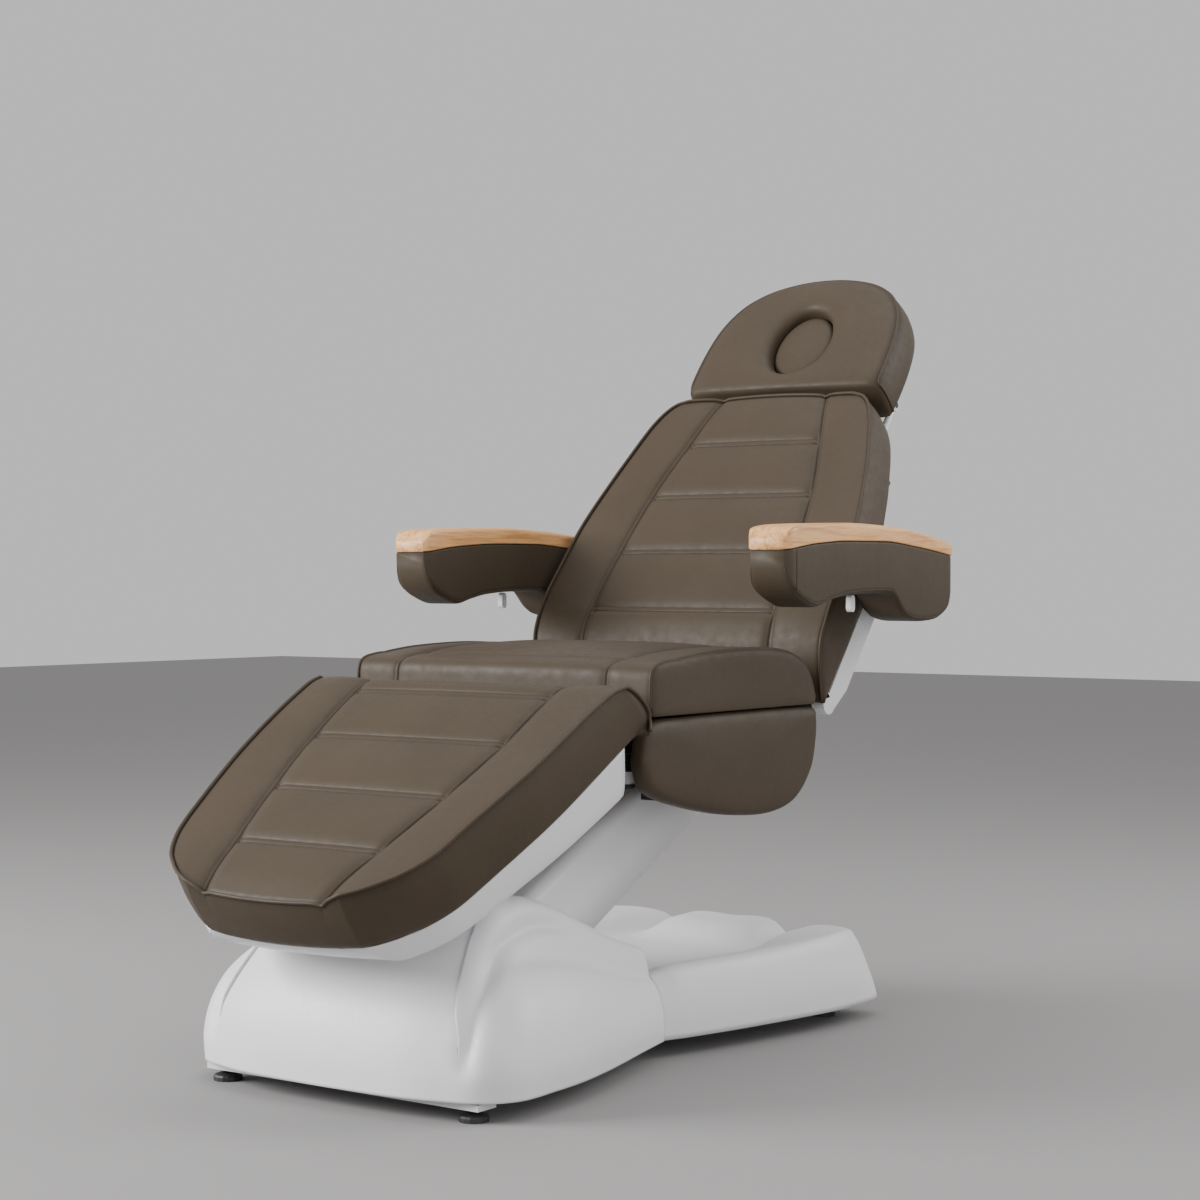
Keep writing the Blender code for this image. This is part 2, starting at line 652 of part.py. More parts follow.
def power_inlet(cover, middle):
    """Inlet set square into the sloping tail."""
    y0, y1 = 0.708, 0.713
    z0, z1 = (BASE_BOTTOM + (middle(y) - BASE_BOTTOM) * rear_cover_height(y) for y in (y0, y1))
    tilt = math.atan2(z1 - z0, y1 - y0)
    seat = pivot("inlet_seat", root, ((y0 + y1) / 2, (z0 + z1) / 2), tilt)
    hole = [(-0.025, -0.0145), (0.0, -0.0152), (0.025, -0.0145), (0.025, 0.0145), (0.0, 0.0152),
            (-0.025, 0.0145)]
    rings = [[(x, y, z) for x, y in hole] for z in (-0.030, 0.030)]
    cut(cover, add("inlet_hole", loft_mesh("inlet_hole", rings), seat, COVER, cutter=True))
    inlet = box("power_inlet", seat, BLACK, (-0.0245, -0.014, -0.028), (0.0245, 0.014, 0.0010))
    join(inlet, box("inlet_flange", seat, BLACK, (-0.030, -0.0185, 0.0005), (0.030, 0.0185, 0.0035)))
    cut(inlet, box("inlet_socket", seat, BLACK, (-0.014, -0.009, -0.016), (0.014, 0.009, 0.010), cutter=True))


def base_inside():
    box("well_plate", root, COVER, (-0.155, -0.060, TRAY_FLOOR - 0.0040),
        (0.155, WAIST_Y - 0.004, TRAY_FLOOR - 0.001))
    box("control_box", root, BLACK, (-0.140, 0.300, FRAME_HIGH + 0.0005), (0.140, 0.420, 0.112), bevel=0.004)
    z = LIFT_LOW[1] - LIFT_CRANK * (1 + math.cos(LIFT_RANGE / 2)) / 2
    actuator("lift_actuator", root, STEEL, 0.0, -0.110, 0.120, z,
             ((-0.020, 0.146, z), (-0.150, 0.146, z), FRAME_HIGH + 0.0005 - z), 0.150)


# Lift linkage

ARM_TILT = math.atan2(LIFT_HIGH[1] - LIFT_LOW[1], LIFT_HIGH[0] - LIFT_LOW[0])
ARM_LENGTH = math.hypot(LIFT_HIGH[1] - LIFT_LOW[1], LIFT_HIGH[0] - LIFT_LOW[0])
LINK_LOW = (LIFT_LOW[0] + LINK_OFFSET[0], LIFT_LOW[1] + LINK_OFFSET[1])
LINK_HIGH = (LIFT_HIGH[0] + LINK_OFFSET[0], LIFT_HIGH[1] + LINK_OFFSET[1])

lift = pivot("lift_axis", root, LIFT_LOW, ARM_TILT)
link_axis = pivot("link_axis", root, LINK_LOW, ARM_TILT)
lift_slide = pivot("lift_slide", root, (0.0, 0.0))


def lift_linkage():
    outline = hull(circle((0, 0), ARM_RADIUS) + circle((ARM_LENGTH, 0), ARM_RADIUS))
    holes = [circle((0, 0), SHAFT_RADIUS + 0.0004), circle((ARM_LENGTH, 0), PIN_RADIUS + 0.0005)]
    half = ARM_THICK / 2
    arm = plate("lift_arm", lift, STEEL, outline, ARM_X - half, ARM_X + half, holes)
    twin = plate("lift_arm_twin", lift, STEEL, outline, -ARM_X - half, -ARM_X + half, holes)
    ties = [rod("arm_tie_%d" % i, lift, STEEL, (-ARM_X, t, 0), (ARM_X, t, 0), 0.012)
            for i, t in enumerate((0.16, 0.42))]
    join(arm, *ties, twin)

    reach = BRACKET_X + BRACKET_THICK / 2 + 0.0015
    shaft = rod("lift_shaft", lift, BRIGHT, (-reach, 0, 0), (reach, 0, 0), SHAFT_RADIUS)
    start = -math.pi / 2 - LIFT_RANGE / 2 - ARM_TILT
    join(shaft, *crank("lift_crank", lift, STEEL, start, LIFT_CRANK, 0.0, 0.028))

    bar = hull(circle((0, 0), 0.014) + circle((ARM_LENGTH, 0), 0.014))
    plate("levelling_link", link_axis, STEEL, bar, -0.006, 0.006,
          [circle((0, 0), LINK_SHAFT_RADIUS + 0.0004), circle((ARM_LENGTH, 0), LINK_SHAFT_RADIUS + 0.002)])

    z = LIFT_LOW[1] - LIFT_CRANK * (1 + math.cos(LIFT_RANGE / 2)) / 2
    pin_y = LIFT_LOW[0] - LIFT_CRANK * math.sin(LIFT_RANGE / 2)
    slotted_rod("lift_rod", lift_slide, BRIGHT, 0.0, pin_y, z, -0.050, 0.0090, 0.0120)


def column_cover():
    """White cover over the lift arm: a top and two cheeks, open below."""
    h, w, r = COLUMN_HALF_HEIGHT, COLUMN_HALF_X, 0.022
    grid = []
    for t in (-0.032, 0.16, 0.36, 0.57):
        section = [(0.0, h), (w - r, h), (w - 0.3 * r, h - 0.3 * r), (w, h - r), (w, 0.0), (w, -h)]
        slant = 0.43 if t > 0.5 else 0.0
        grid.append([(x, t - slant * p, p) for x, p in section])
    return shell("column_cover", lift, COVER, grid, COVER_WALL)


# Seat

seat = pivot("seat_axis", lift, LIFT_HIGH)


def on_seat(y, z):
    return (y - LIFT_HIGH[0], z - LIFT_HIGH[1])


def seat_frame():
    low, high = SEAT_FRAME_LOW - LIFT_HIGH[1], SEAT_FRAME_HIGH - LIFT_HIGH[1]
    front, rear = -0.045, 0.475
    for name, side in SIDES:
        x0, x1 = spread(side, RAIL_IN, RAIL_OUT)
        rail = rect_tube("seat_rail_" + name, seat, STEEL, (x0, front - LIFT_HIGH[0], low),
                         (x1, rear - LIFT_HIGH[0], high), 1)
        e0, e1 = spread(side, RAIL_IN - 0.0005, RAIL_IN + 0.008)
        ears = [("front_ear_", LEG_HINGE, 0.016, 0.0104, front + 0.010),
                ("rear_ear_", BACK_HINGE, 0.0155, 0.0114, rear - 0.014)]
        for ear, hinge, radius, hole, start in ears:
            root_points = [on_seat(start, z) for z in (SEAT_FRAME_LOW + 0.006, SEAT_FRAME_HIGH - 0.008)]
            eye = on_seat(*hinge)
            join(rail, plate(ear + name, seat, STEEL, hull(root_points + circle(eye, radius)), e0, e1,
                             [circle(eye, hole)]))
    inner = RAIL_IN - GAP
    for name, y0, y1, z0 in (("front", -0.030, 0.010, low), ("mid", 0.270, 0.340, low + 0.0045),
                             ("rear", 0.408, 0.440, low + 0.0120)):
        rect_tube("seat_crossbar_" + name, seat, STEEL, (-inner, y0 - LIFT_HIGH[0], z0),
                  (inner, y1 - LIFT_HIGH[0], high), 0)
    for name, side in SIDES:
        x0, x1 = spread(side, BRACKET_X - BRACKET_THICK / 2, BRACKET_X + BRACKET_THICK / 2)
        top = low + 0.0045 - GAP
        outline = hull([(-0.045, top), (0.038, top)] + circle((0, 0), 0.034) + circle(LINK_OFFSET, 0.018))
        hanger = plate("lift_hanger_" + name, seat, STEEL, [p for p in outline if p[1] <= top + 1e-9], x0, x1)
        join(hanger, rod("lift_pin_" + name, seat, BRIGHT, (side * 0.074, 0, 0),
                         (side * (BRACKET_X + 0.003), 0, 0), PIN_RADIUS))
    reach = BRACKET_X - BRACKET_THICK / 2 - GAP
    rod("link_shaft_upper", seat, BRIGHT, (-reach, *LINK_OFFSET), (reach, *LINK_OFFSET), LINK_SHAFT_RADIUS)
    box("seat_board", seat, BOARD, (-0.255, -0.040 - LIFT_HIGH[0], high + GAP),
        (0.255, 0.440 - LIFT_HIGH[0], SEAT_UNDERSIDE - GAP - LIFT_HIGH[1]))


SEAT_PROFILE = [(-0.050, 0.5785), (-0.053, 0.600), (-0.053, 0.630), (-0.050, 0.652), (-0.036, 0.664),
                (0.000, 0.669), (0.015, 0.667), (0.030, 0.671), (0.090, 0.676), (0.170, 0.679),
                (0.250, 0.680), (0.330, 0.677), (0.380, 0.669), (0.415, 0.654), (0.438, 0.632),
                (0.451, 0.606), (0.456, 0.588), (0.452, 0.5785)]
SEAT_SEAM_X, SEAT_SEAM_Y = 0.222, 0.015


def seat_cushion():
    """Channelled seat: the top wraps over the front and the rear, with flat side panels."""
    def ring(x, shrink=1.0, crown=0.0, seam=0.0):
        points = []
        cy, cz = 0.20, 0.628
        last = len(SEAT_PROFILE) - 1
        for i, (y, z) in enumerate(SEAT_PROFILE):
            top = math.sin(math.pi * i / last) ** 0.5
            z += (crown + seam) * top
            if i == 6 and abs(x) > SEAT_SEAM_X:
                z += 0.003
            if z < 0.590 and x > 0.26:
                z += SEAT_SIDE_LIFT
            points.append((x, *on_seat(cy + (y - cy) * shrink, cz + (z - cz) * shrink)))
        return points

    half = [ring(SEAT_HALF_WIDTH + 0.004, 0.55, 0.005), ring(SEAT_HALF_WIDTH + 0.003, 0.86, 0.008),
            ring(SEAT_HALF_WIDTH, 0.985, 0.009), ring(SEAT_HALF_WIDTH - 0.006, 1.0, 0.009)]
    for x in (0.292, 0.274, 0.255, 0.232, SEAT_SEAM_X, 0.212, 0.160, 0.080, 0.0):
        crown = SEAT_CROWN * (1 - 0.25 * (x / SEAT_HALF_WIDTH) ** 4)
        half.append(ring(x, 1.0, crown, sewn(x - SEAT_SEAM_X)))
    rings = half + [[(-x, y, z) for x, y, z in r] for r in half[-2::-1]]
    add("seat_cushion", loft_mesh("seat_cushion", rings), seat, LEATHER, smooth=50)


def side_pads():
    shape = [(-0.067, 0.533), (-0.067, 0.500), (-0.046, 0.466), (0.009, 0.444), (0.107, 0.422),
             (0.208, 0.408), (0.313, 0.404), (0.395, 0.421), (0.448, 0.469), (0.466, 0.524), (0.467, 0.562),
             (0.452, 0.581), (0.340, 0.584), (0.200, 0.584), (0.060, 0.583), (-0.045, 0.577)]
    outline = resample([on_seat(*p) for p in shape], 40)
    for name, side in SIDES:
        levels = [(PAD_IN, 0.0, 0.80), (PAD_IN + 0.015, 0.0, 0.80), (PAD_IN + 0.021, 0.010, 1.0),
                  (PAD_IN + 0.027, 0.001, 1.0), (PAD_OUT - 0.016, 0.0, 1.0), (PAD_OUT - 0.011, 0.0015, 1.0),
                  (PAD_OUT - 0.006, 0.007, 1.0), (PAD_OUT - 0.002, 0.022, 1.0), (PAD_OUT, 0.050, 1.0)]
        outline_pad("side_pad_" + name, seat, LEATHER, outline, [(side * x, d, k) for x, d, k in levels])


def seat_actuators():
    z = LEG_HINGE[1] - LEG_CRANK * (1 + math.cos(LEG_RANGE / 2)) / 2 - LIFT_HIGH[1]
    x = SIDE_ACTUATOR_X
    mouth, rear = 0.040 - LIFT_HIGH[0], 0.190 - LIFT_HIGH[0]
    actuator("leg_actuator", seat, STEEL, x, mouth, rear, z,
             ((x, rear + 0.020, z - 0.046), (x, mouth + 0.03, z - 0.046), -0.068), 0.130)
    z = BACK_HINGE[1] - BACK_CRANK * 0.91 - LIFT_HIGH[1]
    mouth, rear = 0.380 - LIFT_HIGH[0], 0.170 - LIFT_HIGH[0]
    actuator("back_actuator", seat, STEEL, -x, mouth, rear, z,
             ((-x, rear - 0.020, z - 0.046), (-x, mouth - 0.09, z - 0.046), -0.068), 0.190)


# Leg rest: slope coordinates are (run down the slope from LEG_TOP, rise off the seam plane)

leg = pivot("leg_axis", seat, LEG_HINGE, LEG_TILT)
leg_slide = pivot("leg_slide", seat, LIFT_HIGH)
LEG_AT = slope_place(LEG_HINGE, LEG_TOP, LEG_TILT)


def on_leg(run, rise):
    return (-run - LEG_AT[0], rise - LEG_AT[1])


LEG_WIDTH = through([(-0.05, 0.325), (-0.013, 0.320), (0.047, 0.3165), (0.137, 0.3115), (0.20, 0.3055),
                     (0.2675, 0.2945), (0.337, 0.281), (0.406, 0.267), (0.4325, 0.256), (0.4675, 0.233),
                     (0.487, 0.2115), (0.5085, 0.1835), (0.5226, 0.156)])
LEG_SEAM_X = through([(-0.05, 0.206), (0.0, 0.204), (0.128, 0.197), (0.268, 0.176), (0.405, 0.146),
                      (0.53, 0.118)])
LEG_SEAMS = (0.0, 0.128, 0.268, 0.405)
LEG_ENDS = (-0.045, 0.5226)
LEG_TIP = 0.013


def leg_cushion():
    fall = through([(-0.045, -0.012), (-0.025, -0.003), (0.0, 0.0), (0.47, 0.0), (0.5226, -0.008)])
    edge = through([(-0.045, -0.011), (-0.013, -0.001), (0.016, 0.002), (0.077, 0.0055), (0.20, 0.0075),
                    (0.34, 0.0088), (0.4325, 0.0065), (0.5226, 0.0065)])
    surface = sewn_panel(LEG_WIDTH, LEG_SEAM_X, LEG_ENDS, LEG_SEAMS, fall, edge)
    columns = [-u for u in COLUMNS[:0:-1]] + list(COLUMNS)
    rows = sorted(set(rows_between(*LEG_ENDS, LEG_SEAMS, 0.014)) | {0.4395, 0.487, 0.507})
    grid = []
    for s in rows:
        row = []
        for u in columns:
            x, run, rise = surface(u, s)
            share = max(0.0, (s - 0.40) / (LEG_ENDS[1] - 0.40))
            run += LEG_TIP * (1 - u * u) * share ** 1.5
            row.append((x, *on_leg(run, rise)))
        grid.append(row)
    rings = [(0.002, 0.10), (0.004, 0.40), (0.002, 0.75), (-0.003, 0.94), (-0.012, 1.0)]
    tail = [(0.006, 0.10), (0.018, 0.40), (0.026, 0.75), (0.018, 0.94), (-0.004, 1.0)]
    stuffed("leg_cushion", leg, LEATHER, grid, on_leg(0, -LEG_THICK)[1], rings, tail)


def leg_pan():
    """Shallow white tub under the leg cushion, open at the hinge end."""
    columns = [(0.0, 0.0), (0.45, 0.0), (0.90, 0.0), (0.965, 0.05), (0.985, 0.20), (0.995, 0.55), (1.0, 1.0)]
    rows = [(0.0, 0.0), (0.15, 0.0), (0.35, 0.0), (0.55, 0.0), (0.72, 0.0), (0.84, 0.0), (0.935, 0.05),
            (0.968, 0.20), (0.988, 0.55), (1.0, 1.0)]
    rim = -LEG_THICK - 0.0025
    grid = []
    for v, lift_v in rows:
        row = []
        for u, lift_u in columns:
            depth = PAN_DEPTH - PAN_TAPER * LEG_ENDS[1] * v
            rise = -depth + (depth + rim) * max(lift_u, lift_v)
            start = 0.036 * (rim - rise) / (PAN_DEPTH + rim)
            s = start + (LEG_ENDS[1] - 0.006 - start) * v
            x = (LEG_WIDTH(s) - 0.006) * u
            share = max(0.0, (s - 0.40) / (LEG_ENDS[1] - 0.40))
            row.append((x, *on_leg(s + LEG_TIP * (1 - u * u) * share ** 1.5, rise)))
        grid.append(row)
    return shell("leg_pan", leg, COVER, grid, 0.003)


def leg_frame():
    y0, z0 = on_leg(0.40, -LEG_THICK - 0.0120)
    y1, z1 = on_leg(-0.030, -LEG_THICK - GAP)
    box("leg_board", leg, BOARD, (-0.215, y0, z0), (0.215, y1, z1))
    hinge = rod("leg_hinge", leg, STEEL, (-0.244, 0, 0), (0.244, 0, 0), 0.010)
    y0, z0 = on_leg(0.200, -LEG_THICK - 0.0240)
    z1 = on_leg(0, -LEG_THICK - 0.0123)[1]
    for name, side in SIDES:
        x0, x1 = spread(side, 0.130, 0.170)
        join(hinge, box("leg_bar_" + name, leg, STEEL, (x0, y0, z0), (x1, 0.002, z1)))
    start = -math.pi / 2 + LEG_RANGE / 2 - LEG_TILT
    join(hinge, *crank("leg_crank", leg, STEEL, start, LEG_CRANK, SIDE_ACTUATOR_X, 0.016))
    pin_y = LEG_HINGE[0] + LEG_CRANK * math.sin(LEG_RANGE / 2) - LIFT_HIGH[0]
    z = LEG_HINGE[1] - LEG_CRANK * (1 + math.cos(LEG_RANGE / 2)) / 2 - LIFT_HIGH[1]
    slotted_rod("leg_rod", leg_slide, BRIGHT, SIDE_ACTUATOR_X, pin_y, z, 0.110 - LIFT_HIGH[0], 0.0090, 0.0120)


# Backrest: slope coordinates are (run up the slope from BACK_TOP, rise off the seam plane)

back = pivot("back_axis", seat, BACK_HINGE, BACK_TILT)
back_slide = pivot("back_slide", seat, LIFT_HIGH)
BACK_AT = slope_place(BACK_HINGE, BACK_TOP, BACK_TILT)


def on_back(run, rise):
    return (run - BACK_AT[0], rise - BACK_AT[1])


BACK_WIDTH = through([(-0.135, 0.312), (-0.096, 0.316), (-0.05, 0.3188), (-0.008, 0.3202), (0.038, 0.3199),
                      (0.087, 0.3168), (0.186, 0.3107), (0.238, 0.3028), (0.288, 0.2924), (0.34, 0.2809),
                      (0.391, 0.2666), (0.441, 0.2514), (0.467, 0.2407), (0.494, 0.225), (0.507, 0.2116),
                      (0.5157, 0.1866)])
BACK_SEAM_X = through([(-0.135, 0.208), (0.0, 0.205), (0.138, 0.195), (0.274, 0.179), (0.406, 0.148),
                       (0.52, 0.116)])
BACK_SEAMS = (0.0, 0.138, 0.274, 0.406)
BACK_ENDS = (-0.135, 0.5157)
BACK_TIP = 0.014


def back_cushion():
    centre = through([(-0.135, -0.090), (-0.120, -0.066), (-0.090, -0.038), (-0.050, -0.012), (0.0, 0.0),
                      (0.47, 0.0), (0.5157, -0.004)])
    edge = through([(-0.135, -0.0925), (-0.110, -0.058), (-0.096, -0.0436), (-0.066, -0.018),
                    (-0.049, -0.0093), (-0.029, -0.0042), (-0.008, 0.0002), (0.038, 0.0043), (0.136, 0.006),
                    (0.34, 0.006), (0.416, 0.0083), (0.467, 0.0094), (0.5157, 0.0075)])
    surface = sewn_panel(BACK_WIDTH, BACK_SEAM_X, BACK_ENDS, BACK_SEAMS, centre, edge)
    columns = [-u for u in COLUMNS[:0:-1]] + list(COLUMNS)
    extra = {-0.120, -0.100, -0.040, 0.44, 0.486, 0.505}
    rows = sorted(set(rows_between(*BACK_ENDS, BACK_SEAMS, 0.014)) | extra)
    grid = []
    for s in rows:
        row = []
        for u in columns:
            x, run, rise = surface(u, s)
            share = max(0.0, (s - 0.40) / (BACK_ENDS[1] - 0.40))
            row.append((x, *on_back(run + BACK_TIP * (1 - u * u) * share ** 1.5, max(rise, -0.0935))))
        grid.append(row)
    rings = [(0.003, 0.12), (0.006, 0.45), (0.005, 0.78), (0.000, 0.95), (-0.010, 1.0)]
    tail = [(0.002, 0.2), (0.001, 0.45), (-0.002, 0.7), (-0.006, 0.9), (-0.014, 1.0)]
    stuffed("back_cushion", back, LEATHER, grid, on_back(0, BACK_REAR)[1], rings, tail)


def back_frame():
    half = [(0.288, -0.075), (0.300, 0.060), (0.294, 0.150), (0.264, 0.300), (0.226, 0.440)]
    outline = half + [(-x, s) for x, s in half[::-1]]
    rings = []
    for rise in (BACK_REAR - 0.0125, BACK_REAR - GAP):
        rings.append([(x, *on_back(s, rise)) for x, s in outline])
    add("back_board", loft_mesh("back_board", rings), back, BOARD)

    front, rear = on_back(0, -0.1105)[1], on_back(0, -0.156)[1]
    top = on_back(0.215, 0)[0]
    axle = on_back(REST_PIVOT_S, REST_PIVOT_OFF)
    hub = 0.0195
    turns = [math.asin(front / hub) + math.radians(a) for a in range(0, 241, 20)]
    outline = [(hub * math.cos(a), hub * math.sin(a)) for a in turns]
    outline += [(0.055, rear), (top, rear), (top, front)]
    for name, side in SIDES:
        x0, x1 = spread(side, BAR_IN, BAR_OUT)
        bar = plate("back_bar_" + name, back, PAINT, outline, x0, x1)
        stub = rod("arm_axle_" + name, back, BRIGHT, (side * (BAR_OUT - 0.010), *axle),
                   (side * (REST_IN + 0.030), *axle), REST_AXLE)
        join(bar, stub)
    inner = BAR_IN - GAP
    hinge = rod("back_hinge", back, STEEL, (-inner, 0, 0), (inner, 0, 0), 0.011)
    middle = (BACK_UP - BACK_DOWN) / 2
    start = -math.pi / 2 - middle - BACK_TILT
    join(hinge, *crank("back_crank", back, STEEL, start, BACK_CRANK, -SIDE_ACTUATOR_X, 0.018))

    y0, z0 = on_back(0.380, -0.146)
    y1, z1 = on_back(0.420, -0.1115)
    bar = box("back_crossbar", back, STEEL, (-0.235, y0, z0), (0.235, y1, z1))
    for name, side in SIDES:
        z = on_back(0, POST_OFF)[1]
        x = side * POST_X
        cut(bar, rod("post_bore_" + name, back, STEEL, (x, y0 - 0.02, z), (x, y1 + 0.02, z),
                     POST_RADIUS + 0.0004, cutter=True))

    pin_y = BACK_HINGE[0] + BACK_CRANK * math.sin(-middle) - LIFT_HIGH[0]
    z = BACK_HINGE[1] - BACK_CRANK * 0.91 - LIFT_HIGH[1]
    start = 0.300 - LIFT_HIGH[0]
    slotted_rod("back_rod", back_slide, BRIGHT, -SIDE_ACTUATOR_X, pin_y, z, start, 0.0105, 0.0185)


# Headrest

HEAD_POINT = along(BACK_TOP, BACK_TILT, HEAD_AXIS_S, POST_OFF)
head_slide = pivot("head_slide", back, HEAD_POINT, BACK_TILT)
head = pivot("head_axis", head_slide, HEAD_POINT, BACK_TILT)
plug_slide = pivot("plug_slide", head, HEAD_POINT, BACK_TILT)


def on_head(run, rise):
    """Place in the headrest, run from its lower edge and rise off the backrest's seam plane."""
    return (run + HEAD_START - HEAD_AXIS_S, rise - POST_OFF)


def head_outline(count):
    """Outline of the headrest, from its lower edge, as (x, run)."""
    half = [(0.0, -0.010), (0.12, -0.011), (0.201, -0.011), (0.2155, -0.003), (0.2185, 0.05), (0.2155, 0.11),
            (0.207, 0.160), (0.191, 0.200), (0.165, 0.235), (0.120, 0.264), (0.060, 0.281), (0.0, 0.286)]
    points = half + [(-x, s) for x, s in half[-2:0:-1]]
    return resample(points, count)


def oval(angles, scale=1.0):
    """Points of the face hole's outline, one on each ray from its centre."""
    out = []
    for a in angles:
        r = scale / math.hypot(math.cos(a) / HOLE_HALF_X, math.sin(a) / HOLE_HALF_S)
        out.append(Vector((r * math.cos(a), HOLE_CENTRE + r * math.sin(a))))
    return out


def head_cushion():
    count = 44
    outer = head_outline(count)
    hole = oval([math.atan2(p.y - HOLE_CENTRE, p.x) for p in outer])

    def ring(share, rise, grow=0.0, under=0.0):
        points = []
        for o, h in zip(outer, hole):
            out = (o - h).normalized()
            p = h + (o - h) * share + out * grow
            low = under * max(0.0, 1 - p.y / 0.05)
            points.append((p.x, *on_head(p.y - low, rise)))
        return points

    face, rear = HEAD_FACE, HEAD_REAR
    rings = [ring(1.0, face - 0.007, -0.001), ring(0.90, face - 0.001), ring(0.62, face + 0.003),
             ring(0.34, face + 0.003), ring(0.14, face + 0.001), ring(0.05, face - 0.005),
             ring(0.0, face - 0.015), ring(0.0, rear + GAP), ring(0.85, rear),
             ring(1.0, rear + 0.010, 0.002, 0.006), ring(1.0, rear + 0.034, 0.006, 0.003),
             ring(1.0, face - 0.030, 0.004)]
    add("head_cushion", loft_mesh("head_cushion", rings, closed=True), head, LEATHER, smooth=50)


def face_plug():
    count = 36
    angles = [2 * math.pi * i / count for i in range(count)]

    def ring(shrink, rise):
        rx, rs = HOLE_HALF_X - shrink, HOLE_HALF_S - shrink
        return [(rx * math.cos(a), *on_head(HOLE_CENTRE + rs * math.sin(a), rise)) for a in angles]

    rear = HEAD_REAR + GAP
    rings = [ring(0.004, rear), ring(0.0015, rear + 0.006), ring(0.0015, HEAD_FACE - 0.036),
             ring(0.004, HEAD_FACE - 0.027), ring(0.012, HEAD_FACE - 0.020),
             ring(0.030, HEAD_FACE - 0.016), ring(0.050, HEAD_FACE - 0.015)]
    add("face_plug", loft_mesh("face_plug", rings), plug_slide, LEATHER, smooth=50)


def head_frame():
    for name, side in SIDES:
        x, tail = side * POST_X, 0.300 - HEAD_AXIS_S
        post = rod("head_post_" + name, head_slide, PAINT, (x, tail, 0), (x, -0.008, 0), POST_RADIUS)
        x0, x1 = spread(side, POST_X - 0.007, POST_X + 0.007)
        eye = plate("post_eye_" + name, head_slide, PAINT, circle((0, 0), 0.012), x0, x1,
                    [circle((0, 0), 0.0064)])
        join(post, eye)
    y0, z0 = on_head(0.030, HEAD_REAR - 0.010)
    y1, z1 = on_head(0.235, HEAD_REAR - GAP)
    board = box("head_board", head, BOARD, (-0.150, y0, z0), (0.150, y1, z1))
    opening = oval([k * math.pi / 18 for k in range(36)], 0.86)
    rings = []
    for rise in (HEAD_REAR - 0.03, HEAD_REAR + 0.02):
        rings.append([(p.x, *on_head(p.y, rise)) for p in opening])
    cut(board, add("board_opening", loft_mesh("board_opening", rings), head, BOARD, cutter=True))
    hinge = rod("head_hinge", head, STEEL, (-POST_X - 0.0072, 0, 0), (POST_X + 0.0072, 0, 0), 0.006)
    for name, side in SIDES:
        x0, x1 = spread(side, 0.090, 0.140)
        join(hinge, box("head_lug_" + name, head, STEEL, (x0, -0.005, -0.004), (x1, 0.060, z0 - GAP)))


# Armrests

REST_PIVOT = along(BACK_TOP, BACK_TILT, REST_PIVOT_S, REST_PIVOT_OFF)
LEVER_POINT = (LEVER_Y, 0.7725)


def armrests():
    belly = through([(0.174, 0.835), (0.180, 0.812), (0.193, 0.792), (0.229, 0.771), (0.272, 0.760),
                     (0.310, 0.768), (0.360, 0.777), (0.430, 0.7815), (0.500, 0.7825), (0.528, 0.780),
                     (0.546, 0.768), (0.564, 0.750), (0.582, 0.739), (0.605, 0.7335), (0.640, 0.7305),
                     (0.690, 0.733), (0.725, 0.745),
                     (0.747, 0.771), (0.758, 0.812)])
    cap_low = through([(0.170, 0.856), (0.275, 0.868), (0.386, 0.873), (0.501, 0.873), (0.622, 0.864),
                       (0.760, 0.848)])
    cap_high = through([(0.170, 0.880), (0.190, 0.895), (0.260, 0.901), (0.390, 0.904), (0.500, 0.901),
                        (0.600, 0.894), (0.700, 0.881), (0.748, 0.870), (0.763, 0.858)])
    middle, half = (REST_IN + REST_OUT) / 2, (REST_OUT - REST_IN) / 2
    for name, side in SIDES:
        axis = pivot("arm_axis_" + name, back, REST_PIVOT)

        def place(ring):
            return [(side * x, y - REST_PIVOT[0], z - REST_PIVOT[1]) for x, y, z in ring]

        rings = []
        for y in REST_STATIONS:
            narrow = 0.010 * (1 - min(1.0, (y - 0.1735) / 0.025, (0.7595 - y) / 0.025)) ** 2
            rings.append(place(rounded_section(middle, half - narrow, belly(y), cap_low(y) - GAP, y)))
        pad = add("arm_pad_" + name, loft_mesh("arm_pad", rings), axis, LEATHER, smooth=50)
        cut(pad, rod("axle_bore_" + name, axis, STEEL, (side * (REST_IN - 0.02), 0, 0),
                     (side * (REST_IN + 0.032), 0, 0), REST_AXLE + 0.0005, cutter=True))

        rings = []
        for y in (0.173, *REST_STATIONS, 0.760):
            narrow = 0.012 * (1 - min(1.0, (y - 0.172) / 0.020, (0.761 - y) / 0.020)) ** 2
            low = cap_low(y) + GAP
            high = max(cap_high(y), low + 0.008)
            rings.append(place(rounded_section(middle, half + 0.001 - narrow, low, high, y, power=6.0)))
        add("arm_cap_" + name, loft_mesh("arm_cap", rings), axis, WOOD, smooth=50)

        lever_axis = pivot("lever_axis_" + name, axis, LEVER_POINT)
        tab = hull(circle((0, -0.016), 0.007) + circle((0, 0), 0.007))
        x0, x1 = spread(side, middle - 0.005, middle + 0.005)
        plate("arm_lever_" + name, lever_axis, PAINT, tab, x0, x1)


base_frame()
base_feet()
front_cover()
power_inlet(*rear_cover())
base_inside()
lift_linkage()
column_cover()
seat_frame()
seat_cushion()
side_pads()
seat_actuators()
leg_cushion()
leg_pan()
leg_frame()
back_cushion()
back_frame()
head_cushion()
face_plug()
head_frame()
armrests()
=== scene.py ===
"""Looks of the electric beauty bed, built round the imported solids."""

import json
import math

import bmesh
import bpy
import numpy as np
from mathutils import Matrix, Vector, noise


